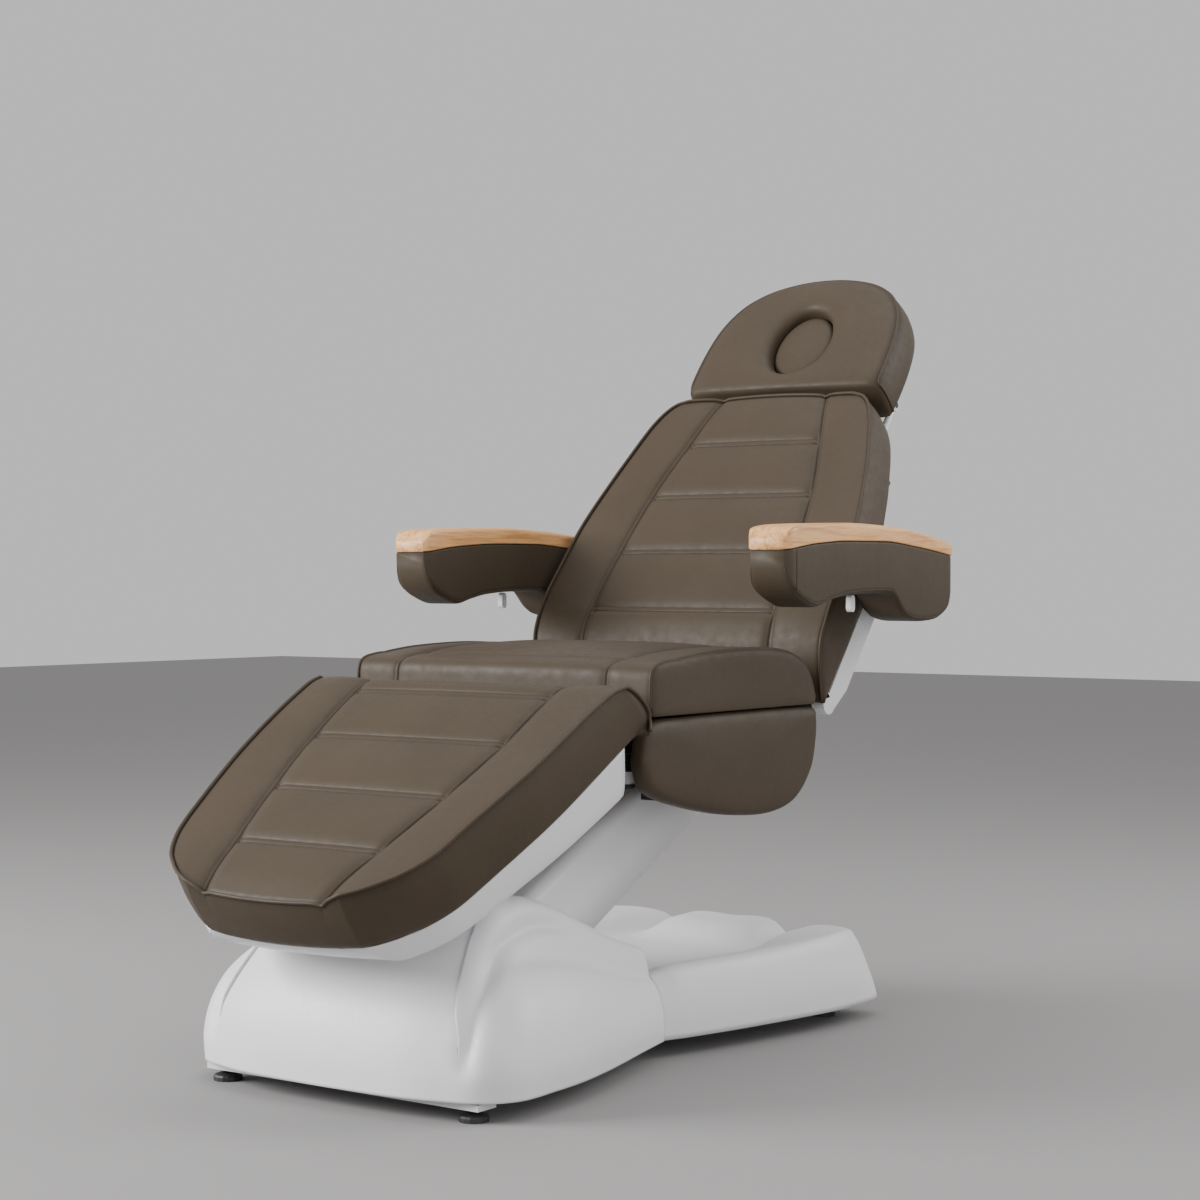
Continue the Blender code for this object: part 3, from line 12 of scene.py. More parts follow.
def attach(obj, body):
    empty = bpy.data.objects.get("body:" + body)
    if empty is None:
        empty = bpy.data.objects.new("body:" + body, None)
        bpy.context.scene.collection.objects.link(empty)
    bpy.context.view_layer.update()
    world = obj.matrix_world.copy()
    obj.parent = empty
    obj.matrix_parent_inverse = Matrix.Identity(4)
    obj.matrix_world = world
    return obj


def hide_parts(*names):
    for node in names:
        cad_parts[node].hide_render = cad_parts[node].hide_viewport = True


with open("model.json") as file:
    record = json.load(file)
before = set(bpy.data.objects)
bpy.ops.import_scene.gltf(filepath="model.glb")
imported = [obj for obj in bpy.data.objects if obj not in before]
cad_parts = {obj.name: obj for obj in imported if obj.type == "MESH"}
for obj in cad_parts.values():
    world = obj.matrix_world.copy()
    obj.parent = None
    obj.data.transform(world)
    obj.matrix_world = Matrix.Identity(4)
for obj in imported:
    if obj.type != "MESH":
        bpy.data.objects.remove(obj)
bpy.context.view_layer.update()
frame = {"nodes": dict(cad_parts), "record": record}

OY = -0.2286    # where the zero of the profiles below lies in Y
LEG_TOP, BACK_FOOT, COLUMN_FOOT = (-0.18, 0.623), (0.49, 0.752), (-0.22, 0.181)
LEG_TILT = math.radians(32.3)
BACK_TILT = math.radians(51.7)
COLUMN_TILT = math.atan2(0.457 - COLUMN_FOOT[1], 0.3 - COLUMN_FOOT[0])
HEAD_START = 0.559
SIDES = (("left", 1), ("right", -1))


# Camera and stage

def add_object(name, data):
    obj = bpy.data.objects.new(name, data)
    bpy.context.scene.collection.objects.link(obj)
    return obj


def camera():
    data = bpy.data.cameras.new("camera")
    data.lens = 73.62
    data.sensor_width = 36.0
    obj = add_object("camera", data)
    obj.location = (2.556, -3.28 + OY, 0.82)
    obj.rotation_euler = (math.radians(90 - 0.66), 0.0, math.radians(36.0))
    bpy.context.scene.camera = obj


def area(name, place, target, size, power):
    data = bpy.data.lights.new(name, "AREA")
    data.shape = "RECTANGLE"
    data.size, data.size_y = size
    data.energy = power
    obj = add_object(name, data)
    obj.location = place
    obj.rotation_euler = (Vector(target) - Vector(place)).to_track_quat("-Z", "Y").to_euler()


def stage():
    bm = bmesh.new()
    bmesh.ops.create_grid(bm, x_segments=2, y_segments=2, size=14.0)
    mesh = bpy.data.meshes.new("floor")
    bm.to_mesh(mesh)
    bm.free()
    floor = add_object("floor", mesh)
    mat = bpy.data.materials.new("floor")
    mat.use_nodes = True
    shader = mat.node_tree.nodes["Principled BSDF"]
    shader.inputs["Base Color"].default_value = (0.29, 0.282, 0.278, 1)
    shader.inputs["Roughness"].default_value = 0.9
    mesh.materials.append(mat)
    world = bpy.data.worlds.new("studio")
    world.use_nodes = True
    back = world.node_tree.nodes["Background"]
    back.inputs["Color"].default_value = (0.5, 0.495, 0.5, 1)
    back.inputs["Strength"].default_value = 1.35
    bpy.context.scene.world = world
    area("key", (-3.1, -3.4, 2.0), (0, -0.2, 0.5), (2.4, 2.0), 360)
    area("top", (0.2, 0.3, 3.8), (0, 0, 0.5), (3.0, 3.0), 55)
    area("fill", (3.0, -1.4, 0.9), (0, 0.1, 0.55), (2.0, 1.6), 26)
    area("rim", (2.6, 2.4, 2.2), (0, 0.2, 0.7), (1.6, 1.6), 60)


# Materials

class Nodes:
    """A material's node tree, with short calls for the nodes used here."""

    def __init__(self, name):
        self.mat = bpy.data.materials.new(name)
        self.mat.use_nodes = True
        self.tree = self.mat.node_tree
        self.shader = self.tree.nodes["Principled BSDF"]
        self.place = self.node("ShaderNodeTexCoord", {}).outputs["Object"]

    def give(self, socket, value):
        """A number or a colour goes on the socket, another socket is linked to it."""
        if isinstance(value, bpy.types.NodeSocket):
            self.tree.links.new(value, socket)
        else:
            socket.default_value = (*value, 1) if socket.type == "RGBA" else value

    def put(self, name, value):
        self.give(self.shader.inputs[name], value)

    def node(self, kind, inputs, **settings):
        n = self.tree.nodes.new(kind)
        for key, value in settings.items():
            setattr(n, key, value)
        for key, value in inputs.items():
            self.give(n.inputs[key], value)
        return n

    def stretch(self, along):
        n = self.node("ShaderNodeMapping", {"Scale": (1.0, along, 1.0), "Vector": self.place})
        return n.outputs["Vector"]

    def noise(self, scale, detail, rough=0.5, vector=None):
        inputs = {"Scale": scale, "Detail": detail, "Roughness": rough, "Vector": vector or self.place}
        return self.node("ShaderNodeTexNoise", inputs).outputs["Fac"]

    def cells(self, scale):
        return self.node("ShaderNodeTexVoronoi", {"Scale": scale, "Vector": self.place}).outputs["Distance"]

    def attribute(self, name):
        return self.node("ShaderNodeAttribute", {}, attribute_name=name).outputs["Fac"]

    def range(self, value, low, high, to_low, to_high):
        inputs = {"Value": value, "From Min": low, "From Max": high, "To Min": to_low, "To Max": to_high}
        return self.node("ShaderNodeMapRange", inputs).outputs["Result"]

    def math(self, operation, a, b):
        return self.node("ShaderNodeMath", {0: a, 1: b}, operation=operation).outputs["Value"]

    def ramp(self, value, stops):
        n = self.node("ShaderNodeValToRGB", {"Fac": value})
        ramp = n.color_ramp
        while len(ramp.elements) < len(stops):
            ramp.elements.new(0.5)
        for element, (at, colour) in zip(ramp.elements, stops):
            element.position = at
            element.color = (*colour, 1)
        return n.outputs["Color"]

    def blend(self, share, a, b, kind="MIX"):
        n = self.node("ShaderNodeMix", {0: share, 6: a, 7: b}, data_type="RGBA", blend_type=kind)
        return n.outputs[2]

    def rough(self, value, low, high):
        self.put("Roughness", self.range(value, 0.3, 0.7, low, high))

    def bump(self, height, strength, distance):
        n = self.node("ShaderNodeBump", {"Height": height, "Strength": strength, "Distance": distance})
        self.put("Normal", n.outputs["Normal"])


def leather():
    n = Nodes("taupe_leatherette")
    tone = n.ramp(n.noise(7.0, 4.0), [(0.3, (0.054, 0.0395, 0.025)), (0.7, (0.062, 0.0452, 0.0292))])
    worn = n.blend(n.range(n.noise(130.0, 4.0, 0.6), 0.45, 0.75, 0.0, 0.22), tone, (0.077, 0.058, 0.039))
    # painted shade: darkens the leatherette in the grooves of its seams and beside its piping, as much as
    # each piece's per-vertex attribute says
    seam_shade = n.range(n.attribute("seam_shade"), 0.0, 1.0, 1.0, 0.4)
    n.put("Base Color", n.blend(1.0, worn, seam_shade, "MULTIPLY"))
    n.rough(n.noise(60.0, 3.0), 0.46, 0.58)
    pebble = n.math("ADD", n.math("MULTIPLY", n.cells(780.0), 0.8), n.noise(420.0, 4.0, 0.6))
    n.bump(pebble, 0.16, 0.0006)
    n.put("Specular IOR Level", 0.22)
    return n.mat


def wood():
    n = Nodes("light_wood")
    wide = n.noise(125.0, 5.0, 0.6, n.stretch(0.055))
    tone = n.ramp(wide, [(0.34, (0.5, 0.215, 0.066)), (0.46, (0.72, 0.365, 0.138)),
                         (0.56, (0.84, 0.47, 0.195)), (0.7, (0.62, 0.295, 0.098))])
    pores = n.noise(430.0, 3.0, 0.6, n.stretch(0.03))
    tone = n.blend(n.range(pores, 0.52, 0.7, 0.0, 0.55), tone, (0.44, 0.205, 0.075))
    flame = n.noise(9.0, 3.0, 0.5, n.stretch(0.3))
    n.put("Base Color", n.blend(n.range(flame, 0.4, 0.7, 0.0, 0.35), tone, (0.88, 0.53, 0.24)))
    n.rough(pores, 0.36, 0.48)
    n.bump(pores, 0.1, 0.0004)
    return n.mat


def even_finish(name, tone, colours, rough, relief, metallic=0.0, cells=None):
    """Finish with faint noise. tone, rough and relief start with a scale and a detail; rough goes on with
    its bounds, relief with its strength and depth."""
    n = Nodes(name)
    n.put("Base Color", n.ramp(n.noise(*tone), list(zip((0.3, 0.7), colours))))
    n.rough(n.noise(*rough[:2]), *rough[2:])
    height = n.noise(*relief[:2])
    if cells:
        height = n.math("ADD", n.cells(cells), height)
    n.bump(height, *relief[2:])
    n.put("Metallic", metallic)
    return n.mat


def grained_finish(name, scale, detail, along, stops, rough, relief, metallic=0.0):
    """Finish drawn out along Y: one grain for tone, roughness and relief."""
    n = Nodes(name)
    grain = n.noise(scale, detail, 0.6, n.stretch(along))
    n.put("Base Color", n.ramp(grain, stops))
    n.rough(grain, *rough)
    n.bump(grain, *relief)
    n.put("Metallic", metallic)
    return n.mat


MATERIALS = {
    "leatherette": leather(),
    "wood": wood(),
    "white_cover": even_finish("white_moulding", (5.0, 3.0), ((0.715, 0.72, 0.735), (0.745, 0.748, 0.76)),
                               (240.0, 3.0, 0.38, 0.52), (800.0, 3.0, 0.1, 0.0004), cells=1100.0),
    "white_paint": even_finish("white_paint", (12.0, 3.0), ((0.665, 0.67, 0.685), (0.7, 0.705, 0.715)),
                               (150.0, 2.0, 0.28, 0.4), (520.0, 2.0, 0.06, 0.0004)),
    "plywood": grained_finish("plywood", 70.0, 5.0, 0.06,
                              [(0.3, (0.34, 0.22, 0.12)), (0.55, (0.45, 0.31, 0.18)),
                               (0.75, (0.52, 0.38, 0.23))],
                              (0.6, 0.75), (0.15, 0.0004)),
    "dark_steel": even_finish("dark_steel", (25.0, 4.0), ((0.03, 0.031, 0.034), (0.06, 0.061, 0.066)),
                              (180.0, 3.0, 0.38, 0.55), (600.0, 3.0, 0.1, 0.0004), metallic=0.35),
    "bright_steel": grained_finish("bright_steel", 300.0, 3.0, 0.02,
                                   [(0.3, (0.48, 0.49, 0.5)), (0.7, (0.62, 0.63, 0.64))],
                                   (0.22, 0.36), (0.05, 0.0003), metallic=1.0),
    "black_plastic": even_finish("black_plastic", (30.0, 3.0), ((0.012, 0.012, 0.014), (0.026, 0.026, 0.028)),
                                 (200.0, 3.0, 0.4, 0.58), (900.0, 3.0, 0.12, 0.0003)),
}
PAN = even_finish("white_pan", (4.0, 2.0), ((0.65, 0.653, 0.665), (0.675, 0.677, 0.687)),
                  (90.0, 3.0, 0.3, 0.4), (300.0, 3.0, 0.03, 0.0004))


# Making and placing pieces

def face_out(mesh):
    """Turn the faces of a closed mesh outwards."""
    bm = bmesh.new()
    bm.from_mesh(mesh)
    bmesh.ops.recalc_face_normals(bm, faces=bm.faces)
    bm.to_mesh(mesh)
    bm.free()


def grid_faces(rows, columns):
    """Quads of a grid of vertices kept row by row."""
    starts = [r * columns + c for r in range(rows - 1) for c in range(columns - 1)]
    return [(a, a + 1, a + columns + 1, a + columns) for a in starts]


def piece(name, verts, faces, body, slot, smooth=True, seam_shade=0.0):
    """A mesh piece that rides on a body, with painted shade on its leatherette: how dark it is made in the
    grooves of its seams and beside its piping, per vertex or for all.
    """
    mesh = bpy.data.meshes.new(name)
    mesh.from_pydata([tuple(map(float, v)) for v in verts], [], [tuple(map(int, f)) for f in faces])
    mesh.validate()
    face_out(mesh)
    if smooth:
        mesh.shade_smooth()
    mesh.materials.append(MATERIALS[slot])
    if slot == "leatherette":
        # the painted shade goes on as a per-vertex attribute read by the leatherette
        layer = mesh.attributes.new("seam_shade", "FLOAT", "POINT")
        layer.data.foreach_set("value", np.full(len(verts), seam_shade, np.float32))
    obj = add_object(name, mesh)
    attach(obj, body)
    return obj


def clamp(value):
    return min(1.0, max(0.0, value))


def unit(vectors):
    return vectors / np.linalg.norm(vectors, axis=1)[:, None]


def bell(d, at, width):
    return np.exp(-((d - at) / width) ** 2)


def through(points):
    """Smooth function through (t, value) points, rising or falling without overshoot."""
    t, y = np.array(points, float).T
    step = np.diff(t)
    rise = np.diff(y) / step
    slope = np.zeros(len(t))
    slope[0], slope[-1] = rise[0], rise[-1]
    for i in range(1, len(t) - 1):
        if rise[i - 1] * rise[i] > 0:
            a, b = 2 * step[i] + step[i - 1], step[i] + 2 * step[i - 1]
            slope[i] = (a + b) / (a / rise[i - 1] + b / rise[i])

    def value(x):
        x = np.clip(x, t[0], t[-1])
        i = np.clip(np.searchsorted(t, x) - 1, 0, len(t) - 2)
        f = (x - t[i]) / step[i]
        h00, h10 = 2 * f**3 - 3 * f**2 + 1, f**3 - 2 * f**2 + f
        h01, h11 = 3 * f**2 - 2 * f**3, f**3 - f**2
        return h00 * y[i] + h10 * step[i] * slope[i] + h01 * y[i + 1] + h11 * step[i] * slope[i + 1]

    return value


def spline(points, places, closed=False):
    """Points at given parameters of a smooth curve through points of any dimension."""
    p = np.asarray(points, float)
    before, after = (p[-1:], p[:2]) if closed else (2 * p[:1] - p[1:2], 2 * p[-1:] - p[-2:-1])
    p = np.vstack([before, p, after])
    out = []
    for k in places:
        i = min(int(k), len(p) - 4)
        f = k - i
        a, b, c, d = p[i:i + 4]
        square, cube = 2 * a - 5 * b + 4 * c - d, 3 * b - a - 3 * c + d
        out.append(0.5 * (2 * b + (c - a) * f + square * f * f + cube * f**3))
    return np.array(out)


def curve_through(points, count, closed=False):
    """Points along such a curve, spaced by parameter."""
    spans = len(points) if closed else len(points) - 1
    return spline(points, np.linspace(0, spans, count, endpoint=not closed), closed)


def even(points, count, closed=False):
    """Evenly spaced points along a polyline."""
    p = np.asarray(points, float)
    if closed:
        p = np.vstack([p, p[:1]])
    at = np.concatenate([[0], np.cumsum(np.linalg.norm(np.diff(p, axis=0), axis=1))])
    want = np.linspace(0, at[-1], count, endpoint=not closed)
    return np.stack([np.interp(want, at, p[:, k]) for k in range(p.shape[1])], axis=1)


def loft(rings, closed_along=False):
    """Vertices and faces of a skin over rings of equal counts."""
    rings = [np.asarray(r, float) for r in rings]
    n, last = len(rings[0]), len(rings) - 1
    faces = []
    for a in range(last + closed_along):
        b = (a + 1) % len(rings)
        for i in range(n):
            j = (i + 1) % n
            faces.append((a * n + i, a * n + j, b * n + j, b * n + i))
    if not closed_along:
        faces.append(tuple(range(n))[::-1])
        faces.append(tuple(last * n + i for i in range(n)))
    return np.vstack(rings), faces


def upright(x, outline):
    """An outline of (y, z) stood up at x."""
    return np.stack([np.full(len(outline), x), outline[:, 0] + OY, outline[:, 1]], axis=1)


def circle(radius, sides):
    a = np.linspace(0, 2 * math.pi, sides, endpoint=False)
    return radius * np.stack([np.cos(a), np.sin(a)], axis=1)


def tube(points, radius):
    """Round cord along points."""
    t = unit(np.gradient(points, axis=0))
    side = np.cross(t[0], (0.0, 0.0, 1.0))
    if np.linalg.norm(side) < 1e-3:
        side = np.cross(t[0], (1.0, 0.0, 0.0))
    rings = []
    for p, way in zip(points, t):
        side = side - way * np.dot(side, way)
        side /= np.linalg.norm(side)
        up = np.cross(way, side)
        rings.append([p + a * side + b * up for a, b in circle(radius, 8)])
    return loft(rings)


def piping(name, points, body, radius=0.003, spacing=0.006):
    """Self piping: a covered cord along a cushion's edge."""
    p = np.asarray(points, float)
    length = np.linalg.norm(np.diff(p, axis=0), axis=1).sum()
    # a faint even painted shade along the whole cord
    piece(name, *tube(even(p, max(8, int(length / spacing))), radius), body, "leatherette", seam_shade=0.05)


# Soft goods

CLOTH_FRAMES = 20
CLOTH = {"quality": 6, "mass": 0.3, "tension_stiffness": 15.0, "compression_stiffness": 15.0,
         "shear_stiffness": 5.0, "bending_stiffness": 0.5, "use_pressure": True,
         "uniform_pressure_force": 4.0}


def inflate(grid, pins, cap):
    """Rise of a sewn panel under pressure: cloth pinned along its edges and where pins says.

    grid is rows x columns x 3 with the third number the height; the result is rows x columns.
    """
    rows, columns = pins.shape
    pins[[0, -1]] = pins[:, [0, -1]] = True
    verts = grid.reshape(-1, 3)
    mesh = bpy.data.meshes.new("panel")
    mesh.from_pydata(verts.tolist(), [], grid_faces(rows, columns))
    bm = bmesh.new()
    bm.from_mesh(mesh)
    bm.normal_update()
    if sum(f.normal.z for f in bm.faces) < 0:
        bmesh.ops.reverse_faces(bm, faces=bm.faces)
    bm.to_mesh(mesh)
    bm.free()
    obj = add_object("panel", mesh)
    group = obj.vertex_groups.new(name="pins")
    group.add([int(i) for i in np.nonzero(pins.ravel())[0]], 1.0, "REPLACE")
    cloth = obj.modifiers.new("cloth", "CLOTH")
    for key, value in CLOTH.items():
        setattr(cloth.settings, key, value)
    cloth.settings.vertex_group_mass = "pins"
    cloth.settings.effector_weights.gravity = 0.0
    cloth.collision_settings.use_collision = False
    cloth.point_cache.frame_start = 1
    cloth.point_cache.frame_end = CLOTH_FRAMES
    scene = bpy.context.scene
    for f in range(1, CLOTH_FRAMES + 1):
        scene.frame_set(f)
    done = obj.evaluated_get(bpy.context.evaluated_depsgraph_get()).to_mesh()
    co = np.zeros(len(verts) * 3)
    done.vertices.foreach_get("co", co)
    lift = co.reshape(-1, 3)[:, 2] - verts[:, 2]
    scene.frame_set(1)
    bpy.data.objects.remove(obj)
    bpy.data.meshes.remove(mesh)
    return np.clip(lift, 0.0, cap).reshape(rows, columns)


def panel_columns(seam_shade, edge, count):
    """Places across a panel, with one on each long seam."""
    outer = np.linspace(seam_shade, edge, 9)[1:]
    return np.concatenate([-outer[::-1], np.linspace(-seam_shade, seam_shade, count), outer])


def sample(values, rows, columns, at_rows, at_columns):
    """Bilinear values of a table at other rows and columns."""
    first = np.stack([np.interp(at_rows, rows, values[:, c]) for c in range(len(columns))], axis=1)
    return np.stack([np.interp(at_columns, columns, first[r]) for r in range(len(at_rows))], axis=0)


SEAM_STEPS = np.array((0.0008, 0.0022, 0.0036, 0.0048, 0.0062, 0.0085, 0.012, 0.017))
SEAM_OFFSETS = np.concatenate([-SEAM_STEPS[::-1], SEAM_STEPS])
SEAM_REACH = SEAM_STEPS[-1]
EDGE_OFFSETS = np.array((0.0012, 0.0026, 0.0042, 0.0062, 0.009))
BULGE = 0.0042         # of a bolster, and of a panel between its seams
SAME = 1e-6            # places closer than this are one
TIP_FROM = 0.4         # how far along a cushion its end begins to round out
SEAM_AT = 0.63         # where the long seams lie in the cloth, as a share of its half width


def fill(stops, step):
    """The stops with even places between any that are further apart than step."""
    out = [stops[0]]
    for a, b in zip(stops, stops[1:]):
        n = max(1, int(math.ceil((b - a) / step)))
        out += [a + (b - a) * (i + 1) / n for i in range(n)]
    return np.array(out)


def seam_rows(ends, seams, step):
    stops = {ends[0], ends[1]}
    for s in seams:
        stops.update(s + d for d in SEAM_OFFSETS if ends[0] < s + d < ends[1])
    return fill(sorted(stops), step)


def cross_welt(d, way):
    """Felled cross seam: a low welt between two stitched lines, the deeper line on one side."""
    d = d * way
    return (0.001 * np.exp(-(d / 0.0034) ** 4) - 0.0019 * bell(d, 0.0044, 0.0012)
            - 0.0009 * bell(d, -0.0044, 0.0012) - 0.0042 * bell(d, 0.0, 0.0115))


# Painted shade in the two stitched grooves of a cross seam, darker on its deeper side.
def cross_seam_shade(d, way):
    d = d * way
    return bell(d, 0.0044, 0.0011) + 0.45 * bell(d, -0.0044, 0.0009)


def long_welt(d):
    """Long seam: the joint, and one stitched line beside it on the bolster."""
    return (0.0007 * bell(d, 0.003, 0.0022) - 0.0024 * bell(d, 0.0, 0.0013)
            - 0.0009 * bell(d, 0.0062, 0.0011) - 0.0042 * bell(d, 0.0, 0.01))


# Painted shade in the joint and the stitched groove of a long seam.
def long_seam_shade(d):
    return bell(d, 0.0, 0.0012) + 0.45 * bell(d, 0.0062, 0.0009)


def pucker(x, s, d, reach=0.016):
    """Small pulls in the cover across a seam."""
    f = 0.5 * math.sin(95 * x + 3.1 * math.sin(31 * x)) + noise.noise(Vector((70 * x, 55 * s, 2.0)))
    return 0.00045 * f * math.exp(-abs(d) / reach)


def channelled(width, seam_x, ends, seams, centre, edge, tip, way, low=None):
    """Top of a channelled cushion as rows x columns of (x, run, rise), and the painted shade in the grooves
    of its seams and beside its piping.

    The long seams run at seam_x, the cross seams lie between them, and the bolsters outside fall to
    the piping. The panels between seams are swollen by the cloth simulation.
    """
    def form(x, s, w, q):
        side = abs(x)
        rise = centre(s)
        if side > q:
            e = (side - q) / (w - q)
            rise = rise + (edge(s) - rise) * e ** 2.2 + BULGE * math.sin(math.pi * e)
        else:
            stops = [ends[0], *seams, ends[1]]
            for a, b in zip(stops, stops[1:]):
                if a <= s <= b:
                    swell = max(0.0, math.sin(math.pi * (s - a) / (b - a))) ** 0.6
                    rise = rise + BULGE * swell * math.cos(1.2 * side / q)
        return rise

    # coarse panel for the cloth
    us = panel_columns(SEAM_AT, 1.0, 27)
    ss = fill([ends[0], *seams, ends[1]], 0.013)
    on_cross = abs(np.subtract.outer(ss, seams)).min(axis=1) < SAME
    pins = (abs(abs(us) - SEAM_AT) < SAME) | (on_cross[:, None] & (abs(us) <= SEAM_AT))
    coarse = []
    for s in ss:
        w, q = float(width(s)), float(seam_x(s))
        outer = np.sign(us) * (q + (w - q) * (abs(us) - SEAM_AT) / (1 - SEAM_AT))
        xs = np.where(abs(us) > SEAM_AT, outer, q * us / SEAM_AT)
        coarse.append([(x, s, float(form(x, s, w, q))) for x in xs])
    puff = inflate(np.array(coarse), pins, cap=0.0045)

    rows = np.array(sorted(set(seam_rows(ends, seams, 0.01)) | {ends[1] - d for d in EDGE_OFFSETS}))
    top, shade = [], []
    for s in rows:
        w, q = float(width(s)), float(seam_x(s))
        xs = np.concatenate([np.linspace(0, q - SEAM_REACH, 18)[:-1], q + SEAM_OFFSETS,
                             np.linspace(q + SEAM_REACH, w - 0.012, 9)[1:], w - EDGE_OFFSETS[::-1], [w]])
        xs = np.concatenate([-xs[:0:-1], xs])
        outer = np.sign(xs) * (SEAM_AT + (1 - SEAM_AT) * (abs(xs) - q) / (w - q))
        u = np.where(abs(xs) <= q, SEAM_AT * xs / q, outer)
        extra = sample(puff, ss, us, [s], u)[0]
        share = max(0.0, (s - TIP_FROM) / (ends[1] - TIP_FROM)) ** 1.5
        for x, puffed in zip(xs, extra):
            rise = float(form(x, s, w, q)) + puffed
            d_long = abs(x) - q
            rise += long_welt(d_long)
            # painted shade in the grooves of the long seam and of the nearest cross seam
            painted_shade = long_seam_shade(d_long)
            fade = clamp((-d_long - 0.001) / 0.004)
            near = min(seams, key=lambda k: abs(s - k))
            rise += fade * cross_welt(s - near, way)
            painted_shade += fade * cross_seam_shade(s - near, way)
            rise += pucker(x, s, s - near) * fade + pucker(s, x, d_long)
            d_edge = min(w - abs(x), ends[1] - s)
            rise -= 0.0014 * bell(d_edge, 0.0034, 0.002)
            # painted shade in the groove beside the piping
            painted_shade += 0.8 * bell(d_edge, 0.0032, 0.0016)
            if low is not None:
                rise = max(rise, low)
            top.append((x, s + tip * (1 - (x / w) ** 2) * share, rise))
            shade.append(min(1.0, painted_shade))
    return np.reshape(top, (len(rows), -1, 3)), np.reshape(shade, (len(rows), -1))


def boxed(name, top, shade, bottom, out, tail_out, place, body, tail_reach):
    """Closed cushion from its top grid: boxing below the piped edge and a flat underside.

    out(f) is how far the boxing stands out at a share f of its fall, and tail_out(f) the same along the
    first row. place turns (x, run, rise) into a point of the bed.
    """
    rows, columns = shade.shape
    verts = [tuple(p) for p in top.reshape(-1, 3)]
    # tone starts with the painted shade of the top and goes on with that of the boxing
    tone = list(shade.ravel())
    faces = grid_faces(rows, columns)
    edge = list(range(columns)) + [r * columns + columns - 1 for r in range(1, rows)]
    edge += [(rows - 1) * columns + c for c in range(columns - 2, -1, -1)]
    edge += [r * columns for r in range(rows - 2, 0, -1)]
    ring0 = np.array([verts[i] for i in edge])
    count = len(edge)
    t = np.roll(ring0, -1, 0) - np.roll(ring0, 1, 0)
    outward = unit(np.stack([t[:, 1], -t[:, 0]], axis=1))
    if (outward * (ring0[:, :2] - ring0[:, :2].mean(0))).sum() < 0:
        outward = -outward
    head = ring0[0, 1]
    first = np.arange(count) < columns
    last = edge
    for f in (0.03, 0.07, 0.13, 0.2, 0.28, 0.37, 0.46, 0.55, 0.64, 0.73, 0.81, 0.88, 0.94, 0.98, 1.0):
        o, b = float(out(f)), float(tail_out(f))
        ring = []
        for k in range(count):
            x, s, z = ring0[k]
            pull = max(0.0, 1 - (s - head) / tail_reach) ** 2 if tail_reach else float(first[k])
            side = outward[k] * o
            if first[k]:
                near = max(0.0, abs(x) / abs(ring0[0, 0]) - 0.93) / 0.07
                side = (math.copysign(o, x) * near, 0.0)
            ring.append((x + side[0], s + side[1] - b * pull, z + (bottom - z) * f))
        base = len(verts)
        verts += ring
        # painted shade on the boxing just below the piped edge, fading down its fall; none along the near end
        tone += [0.0 if first[k] else 0.9 * math.exp(-f / 0.05) for k in range(count)]
        for k in range(count):
            j = (k + 1) % count
            faces.append((last[k], last[j], base + j, base + k))
        last = list(range(base, base + count))
    faces.append(tuple(last))
    world = [place(*v) for v in verts]
    return piece(name, world, faces, body, "leatherette", seam_shade=tone), np.array(verts), edge


def tilted(x, origin, tilt, run, rise):
    """A point along and above a slope that starts at origin."""
    c, s = math.cos(tilt), math.sin(tilt)
    return (x, origin[0] + run * c - rise * s + OY, origin[1] + run * s + rise * c)


def leg_at(x, run, rise):
    return tilted(x, LEG_TOP, LEG_TILT, -run, rise)


def back_at(x, run, rise):
    return tilted(x, BACK_FOOT, BACK_TILT, run, rise)


def head_at(x, run, rise):
    return back_at(x, run + HEAD_START, rise)


def edge_piping(name, verts, edge, rows_from, columns, place, body, down):
    """Piping along both sides and the far end of a boxed cushion, and down its near corners."""
    levels = [rows_from + level * len(edge) for level in range(down)]
    path = [verts[base + columns - 1] for base in levels[::-1]]
    path += [verts[i] for i in edge[columns - 1:] + edge[:1]]
    path += [verts[base] for base in levels]
    path = [(x + math.copysign(0.0008, x), s, rise + 0.0012) for x, s, rise in path]
    piping(name, [place(*p) for p in path], body)


LEG_END, LEG_TIP = 0.5226, 0.013
LEG_WIDTH = through([(-0.05, 0.325), (-0.013, 0.32), (0.047, 0.3165), (0.137, 0.3115), (0.2, 0.3055),
                     (0.2675, 0.2945), (0.337, 0.281), (0.406, 0.267), (0.4325, 0.256), (0.4675, 0.233),
                     (0.487, 0.2115), (0.5085, 0.1835), (LEG_END, 0.156)])


def leg_rest():
    seam_x = through([(-0.05, 0.206), (0.0, 0.204), (0.128, 0.197), (0.268, 0.176), (0.405, 0.146),
                      (0.53, 0.118)])
    ends, seams = (-0.045, LEG_END), (0.0, 0.128, 0.268, 0.405)
    centre = through([(-0.045, -0.012), (-0.025, -0.003), (0.0, 0.0), (0.47, 0.0), (LEG_END, -0.008)])
    edge = through([(-0.045, -0.011), (-0.013, -0.001), (0.016, 0.002), (0.077, 0.0055), (0.2, 0.0075),
                    (0.34, 0.0088), (0.4325, 0.0065), (LEG_END, 0.0065)])
    top, shade = channelled(LEG_WIDTH, seam_x, ends, seams, centre, edge, LEG_TIP, 1.0)
    out = through([(0.0, 0.0), (0.1, 0.002), (0.4, 0.004), (0.75, 0.002), (0.94, -0.003), (1.0, -0.012)])
    tail = through([(0.0, 0.0), (0.1, 0.006), (0.4, 0.018), (0.75, 0.026), (0.94, 0.018), (1.0, -0.004)])
    obj, verts, ring = boxed("leg_rest_cushion", top, shade, -0.1, out, tail, leg_at, "leg", 0.05)
    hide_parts("leg_cushion")
    edge_piping("leg_rest_piping", verts, ring, shade.size, shade.shape[1], leg_at, "leg", 14)


